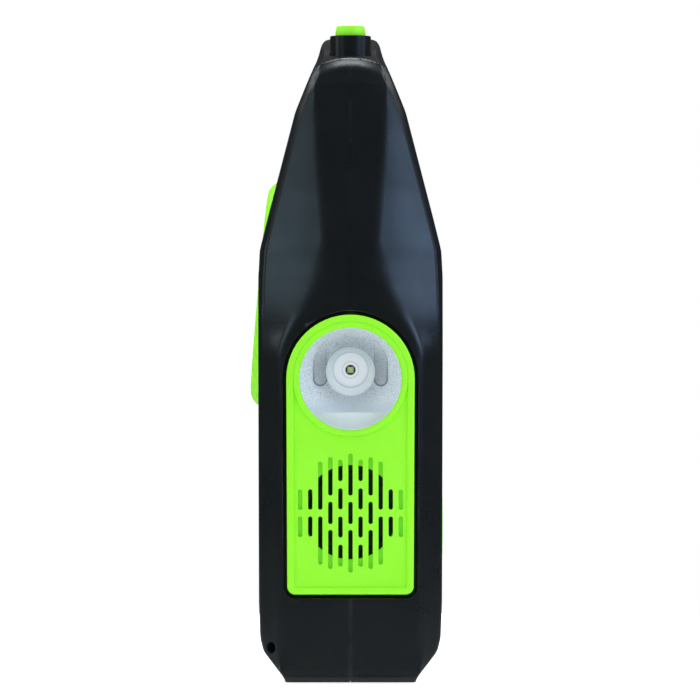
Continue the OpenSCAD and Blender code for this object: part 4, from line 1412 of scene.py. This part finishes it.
@dataclass
class CrankDrive:
    """Ribbed crank wheel, its folding grip and the dynamo train."""

    wheel_r: float = 37.0
    ribs: int = 24
    grip: tuple[float, float, float] = (21.5, 13.0, -4.5)

    def wheel(self) -> None:
        """Wheel whose rim dips as 1 - |cos(12 a)|^0.8, with a crested edge, a sunk face and a raised hub."""
        r = self.wheel_r
        rows = [
            (0, -9.5), (r - 0.8, -9.5), (r, -8.8), (r, -4.4), (36.0, -1.9), (33.6, -0.25), (31.6, 0),
            (30.6, -0.8), (10.4, -0.8), (9.4, -0.1), (0, -0.1),
        ]
        rows = rounded(rows, [0, 0.3, 0.4, 1.6, 1.6, 1.0, 0.5, 0.4, 0.4, 0.5, 0], 5)
        a = full_turn(self.ribs * 16)
        wave = 1.7 * (1 - np.abs(np.cos(a * self.ribs / 2)) ** 0.8)
        dip = wave * ease(rows[:, 0], 31.5, 35.5)[:, None]
        high = rows[:, 1:] - dip * 0.35 * ease(rows[:, 1], -4, 0)[:, None]
        work = Work("wheel", woven(CRANK.out(polar(rows[:, :1] - dip, a, high))))
        work.cut(hollow(CRANK, tablet(50, 9.4, 0.9, 1, self.grip[1], 4), -8.6, -0.8, 0.5, 4))
        work.cut(post(self.pin(), 1.27, -7.6, 7.6), post(CRANK, 3.02, -10.5, -1))
        show("crank_dial", work.shape(), "crank", "crank_wheel", GREEN, 40)

    def pin(self) -> Seat:
        """Frame of the grip's pin, whose local z is the pin's axis."""
        x, y, z = CRANK.axes
        return Seat(tuple(CRANK.out(np.array(self.grip))), (z, x, y))

    def handle(self) -> None:
        """Grip core and its sleeve: a barrel swelling at both ends, ringed by six grooves."""
        across = self.pin()
        along = Seat(across.origin, (CRANK.axes[2], CRANK.axes[1], (-1, 0, 0)))
        work = Work("core", post(across, 3.8, -4.4, 4.4, 0.4)).join(post(along, 3.4, 1.2, 6.2, 0.3))
        work.join(post(along, 1.8, 2, 42), post(along, 3.2, 41.8, 43.4, 0.4)).cut(post(across, 1.31, -6, 6))
        show("grip_shank", work.shape(), "grip_arm", "grip_core", RUBBER_ARM)
        s = np.linspace(0, 35.2, 180)
        swell = 3.8 - 0.35 * np.sin(math.pi * np.clip((s - 2) / 31, 0, 1)) ** 0.8
        swell -= 0.5 * (1 - ease(s, 0, 1.6)) + 0.5 * ease(s, 33.6, 35.2)
        grooves = np.exp(-(((s[:, None] - (4.6 + 5 * np.arange(6))) / 0.42) ** 2)).sum(1)
        outside = np.stack([swell - 0.4 * grooves, 6.4 + s], -1)
        inside = np.array([(1.86, 41.6), (1.86, 6.4)])
        sleeve = turned(along, np.vstack([outside, inside]), 64, loop=True)
        show("grip_roller", sleeve, "grip", "grip_sleeve", RUBBER)

    def build(self) -> None:
        """Makes the crank's pieces."""
        self.wheel()
        self.handle()
        dress(STEEL, "crank_shaft", "grip_pin", "gear_plate")
        dress(NYLON, "drive_gear", "idler_gear")
        dress(BRASS, "generator_rotor")
        dress(PART_METAL, "generator_body")


# ---------------------------------------------------------------- power, base and antenna


@dataclass
class PowerBay:
    """Battery door, tray and cells, base pad and screws."""

    def door(self) -> None:
        """Door with softened edges and five grip grooves, on its hinge barrel."""
        seat = back(0, 0)
        rows = rounded([(-0.3, 26.3), (0, 26.3), (0, 28.1), (-1.1, 28.1)], [0, 0.15, 0.5, 0])
        work = Work("door", pillow(seat, tablet(65.2, 37.8, 1.2, 0, -40.3), rows))
        for i in range(5):
            groove = tablet(18, 0.8, 0.39, 0, -49.0 - 1.8 * i, 5)
            work.cut(pillow(seat, groove, [(-0.1, 27.55), (0.15, 28.3)]))
        work.join(post(DOOR_HINGE, 1.0, -32.6, 32.6, 0.2), post(DOOR_HINGE, 0.64, -34.4, 34.4, 0.1, 24))
        show("battery_hatch", work.shape(), "battery_door", "battery_door", BLACK)

    def pad(self) -> None:
        """Rubber foot with shallow cross grooves, flush with the base plane."""
        base = upright(0, 0)
        rows = rounded([(-2, 0), (0, 0), (0, 1.2), (-2, 1.2)], [0, 0.35, 0.1, 0])
        work = Work("pad", pillow(base, tablet(120, 30, 6), rows))
        for x in range(-52, 53, 4):
            work.cut(pillow(base, tablet(1.1, 24, 0.5, x, 0, 4), [(0.1, -0.5), (0.0, 0.35), (-0.15, 0.5)]))
        show("base_foot", work.shape(), "casing", "base_pad", RUBBER)

    def build(self) -> None:
        """Makes the power pieces."""
        self.door()
        self.pad()
        dress(SPEAKER, "battery_tray")
        dress(CELL_LABEL, "battery_cells")
        dress(CELL_BLUE, "lithium_cell")
        dress(SCREW, "shell_screws")


@dataclass
class Antenna:
    """Collar, tube, three pull-out sections and a green tip."""

    wall: float = 0.3
    sleeves: tuple[tuple[str, str, str, float, float, float], ...] = (
        ("antenna_sleeve", "antenna_tube", "casing", 3.0, 72, 198.9),
        ("antenna_stage_2", "antenna_section_2", "antenna_2", 2.65, 73, 198.8),
        ("antenna_stage_3", "antenna_section_3", "antenna_3", 2.3, 74, 198.7),
    )

    def sleeve(self, name: str, node: str, body: str, outer: float, low: float, high: float) -> None:
        """Thin tube with rounded rims."""
        inner = outer - self.wall
        corners = [(inner, low), (outer, low), (outer, high), (inner, high)]
        rows = rounded(corners, 0.12, 3, loop=True).reshape(-1, 2)
        show(name, turned(upright(ANTENNA_X, 0), rows, 64, loop=True), body, node, CHROME)

    def build(self) -> None:
        """Makes the antenna's pieces."""
        seat = upright(ANTENNA_X, 0)
        rows = [
            (3.05, 180), (4.5, 180), (4.5, 190.7), (6.2, 190.7),
            (6.38, 198.8), (6.2, 199.05), (3.4, 199.05), (3.05, 198.8),
        ]
        profile = rounded(rows, [0.1, 0.3, 0.1, 0.2, 0.25, 0.25, 0.2, 0.2], 4, loop=True).reshape(-1, 2)
        show("antenna_socket", turned(seat, profile, 96, loop=True), "casing", "antenna_collar", BLACK)
        for row in self.sleeves:
            self.sleeve(*row)
        show("antenna_mast", post(seat, 1.95, 75, 200.4, 0.2), "antenna_4", "antenna_rod", CHROME)
        rows = [(0, 199.1), (4.65, 199.1), (4.7, 200.3), (4.25, 202.1), (3.5, 202.15), (0, 202.15)]
        tip = turned(seat, rounded(rows, [0, 0.2, 0.8, 0.45, 0.6, 0], 6))
        show("antenna_cap", tip, "antenna_4", "antenna_tip", GREEN)
        dress(FERRITE, "ferrite_rod")
        dress(COPPER, "ferrite_coil")


@dataclass
class PortEnd:
    """Green port panel with a rubber flap over the charging socket and an audio socket."""

    field_h: float = 104.95
    frame_h: float = 105.45

    def panel(self, seat: Seat) -> None:
        """The panel: a raised border, a frame round the flap's pocket and a boss round the audio socket."""
        field, frame_h, jack = self.field_h, self.frame_h, port_end(JACK_Z)
        rows = [(0, PANEL_SEAT), (0, PANEL_TOP), (-1.9, PANEL_TOP), (-2.4, field), (-2.6, field)]
        rows = rounded(rows, [0, 0.75, 0.5, 0.05, 0])
        work = Work("ports", pillow(seat, tablet(30, 52, 3, 0, PORTS_Z), rows))
        raised = rounded([(0, 103), (0, frame_h), (-0.8, frame_h)], [0, 0.4, 0])
        work.join(pillow(seat, tablet(21, 21, 2.2, 0, 67.2), raised), post(jack, 5.4, 103, 105.4, 0.4))
        work.cut(hollow(seat, tablet(17, 17.2, 0.8, 0, 67.15), 104.0, frame_h, 0.25, 3))
        work.cut(post(FLAP_HINGE, 0.52, -9.5, 9.5, steps=24))
        work.cut(drum(seat, tablet(9.4, 4, 0.8, 0, SOCKET_Z), 101, 108), post(jack, 3.1, 101, 108))
        show("port_panel_moulding", work.shape(), "casing", "port_panel", GREEN, 40)

    def flap(self, seat: Seat) -> None:
        """Rubber flap with three grip grooves, on its hinge barrel."""
        rows = rounded([(-0.2, 104.1), (0, 104.1), (0, PANEL_TOP), (-1.0, PANEL_TOP)], [0, 0.1, 0.45, 0])
        work = Work("flap", pillow(seat, tablet(16.4, 15.7, 1.1, 0, 67.45), rows))
        work.join(post(FLAP_HINGE, 0.75, -8.2, 8.2, 0.1, 24), post(FLAP_HINGE, 0.47, -9.3, 9.3, 0.1, 24))
        for i in range(3):
            work.cut(pillow(seat, tablet(8, 0.7, 0.34, 0, 71.2 + 1.3 * i, 5), [(-0.1, 105.2), (0.1, 105.8)]))
        show("port_flap", work.shape(), "port_cover", "port_cover", RUBBER)

    def build(self) -> None:
        """Makes the end's pieces."""
        self.panel(port_end(0))
        self.flap(port_end(0))
        dress(SPEAKER, "audio_jack")
        dress(PART_METAL, "usb_socket")


# ---------------------------------------------------------------- studio


@dataclass
class Studio:
    """Pale floor, pale surroundings, soft lights and the camera."""

    camera_at: tuple[float, float, float] = (-1.605, 0.00015, 0.1014)
    lens: float = 253.0
    boxes: tuple[tuple[str, float, float, float, float, float, float, Colour, float], ...] = (
        ("left_box", 48, 19, 1.3, 0.34, 0.36, 2.8, (0.55, 0.82, 1.0), 0.1),
        ("right_box", -51, 19, 1.3, 0.42, 0.36, 5.9, (0.42, 0.64, 1.0), 0.1),
        ("left_rim", 60, 32, 1.3, 0.22, 0.24, 1.8, (0.6, 0.85, 1.0), 0.1),
        ("right_rim", -60, 32, 1.3, 0.22, 0.24, 3.6, (0.5, 0.7, 1.0), 0.1),
        ("left_strip", 70, 2, 0.37, 0.05, 0.06, 3.4, (0.9, 0.95, 1.0), 0.205),
        ("right_strip", -70, 2, 0.37, 0.05, 0.06, 4.6, (0.5, 0.65, 1.0), 0.205),
        ("back_side_box", 104, 46, 1.3, 0.9, 0.5, 2.4, (0.93, 0.97, 1.0), 0.1),
        ("front_side_box", -104, 46, 1.3, 0.9, 0.5, 2.4, (0.93, 0.97, 1.0), 0.1),
        ("top_box", 180, 84, 1.2, 0.5, 0.45, 8.5, (0.9, 0.97, 1.0), 0.1),
        ("port_box", 180, 62, 1.4, 1.0, 0.5, 2.6, (1.0, 1.0, 1.0), 0.1),
        ("low_box", 0, -80, 1.2, 1.4, 1.4, 1.0, (1.0, 1.0, 1.0), 0.1),
    )

    def light(
        self, name: str, azimuth: float, rise: float, far: float, wide: float, high: float, shine: float,
        colour: Colour, aim: float,
    ) -> None:
        """Adds a softbox.

        Args:
            name: Its name.
            azimuth: Degrees round Z from the lamp end's outward direction, positive towards the back.
            rise: Degrees above the horizon.
            far: Distance from the radio in metres.
            wide: Width in metres.
            high: Height in metres.
            shine: Radiance.
            colour: Its colour.
            aim: Height that it is aimed at.
        """
        a, e = math.radians(azimuth), math.radians(rise)
        way = np.array([-math.cos(a) * math.cos(e), math.sin(a) * math.cos(e), math.sin(e)])
        data = bpy.data.lights.new(name, "AREA")
        data.shape, data.size, data.size_y = "RECTANGLE", wide, high
        data.energy, data.color = shine * math.pi * wide * high, colour
        lamp = placed(name, data)
        lamp.rotation_mode = "QUATERNION"
        lamp.location = way * far + np.array([0, 0, aim])
        lamp.rotation_quaternion = Vector(-way).to_track_quat("-Z", "Y")
        lamp.visible_camera = False

    def surroundings(self) -> None:
        """White to the eye, even for soft light and dark for reflections."""
        world = bpy.data.worlds.new("surroundings")
        bpy.context.scene.world = world
        sheet = blank(world)
        rays = sheet.node("ShaderNodeLightPath").outputs
        soft = Signal(sheet, rays["Is Diffuse Ray"]) * 0.84 + 0.06
        white = sheet.node("ShaderNodeBackground", {"Color": (1.0, 1.0, 1.0), "Strength": 1.0})
        dim = sheet.node("ShaderNodeBackground", {"Color": (0.96, 0.98, 1.0), "Strength": soft})
        both = {0: rays["Is Camera Ray"], 1: dim.outputs[0], 2: white.outputs[0]}
        sheet.node("ShaderNodeOutputWorld", {"Surface": sheet.node("ShaderNodeMixShader", both).outputs[0]})

    def floor(self) -> None:
        """Pale round floor 0.4 mm down, clear from below, to very short rays and mostly to reflections."""
        floor = placed("floor", mesh_of("floor", drum(upright(0, 0), ring(300), -3, -0.4)))
        made = bpy.data.materials.new("floor_pale")
        sheet = blank(made)
        rays = sheet.node("ShaderNodeLightPath").outputs
        tone = sheet.noise(9.0).ramp(0.2, 0.8)
        pale = sheet.node("ShaderNodeBsdfPrincipled", {
            "Base Color": sheet.coats((0.90, 0.905, 0.91), (tone, (0.92, 0.92, 0.92))),
            "Roughness": 0.6,
            "Emission Color": (1.0, 1.0, 1.0),
            "Emission Strength": Signal(sheet, rays["Is Camera Ray"]) * 0.75,
        })
        clear = sheet.node("ShaderNodeBsdfTransparent")
        near = Signal(sheet, rays["Ray Length"]).math("LESS_THAN", 0.0012)
        under = sheet.part(sheet.geometry("Normal"), 2).math("LESS_THAN", 0.5)
        gone = near.most(under).most(Signal(sheet, rays["Is Glossy Ray"]) * 0.8)
        both = sheet.node("ShaderNodeMixShader", {0: gone, 1: pale.outputs[0], 2: clear.outputs[0]})
        sheet.node("ShaderNodeOutputMaterial", {"Surface": both.outputs[0]})
        floor.data.materials.append(made)

    def camera(self) -> None:
        """Long lens, level, looking along +X at the lamp end."""
        data = bpy.data.cameras.new("camera")
        data.lens, data.sensor_width = self.lens, 36.0
        data.clip_start, data.clip_end = 0.05, 50.0
        camera = placed("camera", data)
        camera.location = self.camera_at
        camera.rotation_euler = (math.radians(90), 0, math.radians(-90))
        bpy.context.scene.camera = camera
        bpy.context.scene.view_settings.view_transform = "Standard"

    def build(self) -> None:
        """Sets the studio up."""
        self.surroundings()
        self.floor()
        for box in self.boxes:
            self.light(*box)
        self.camera()


def main() -> None:
    """Builds the radio and the studio in order."""
    logging.basicConfig(level=logging.INFO, format="%(message)s")
    casing = Casing()
    outside = (casing, LampEnd(), FrontControls(casing), CrankDrive(), PowerBay(), Antenna(), PortEnd())
    for part in (*outside, Studio()):
        part.build()


if __name__ == "__main__":
    main()
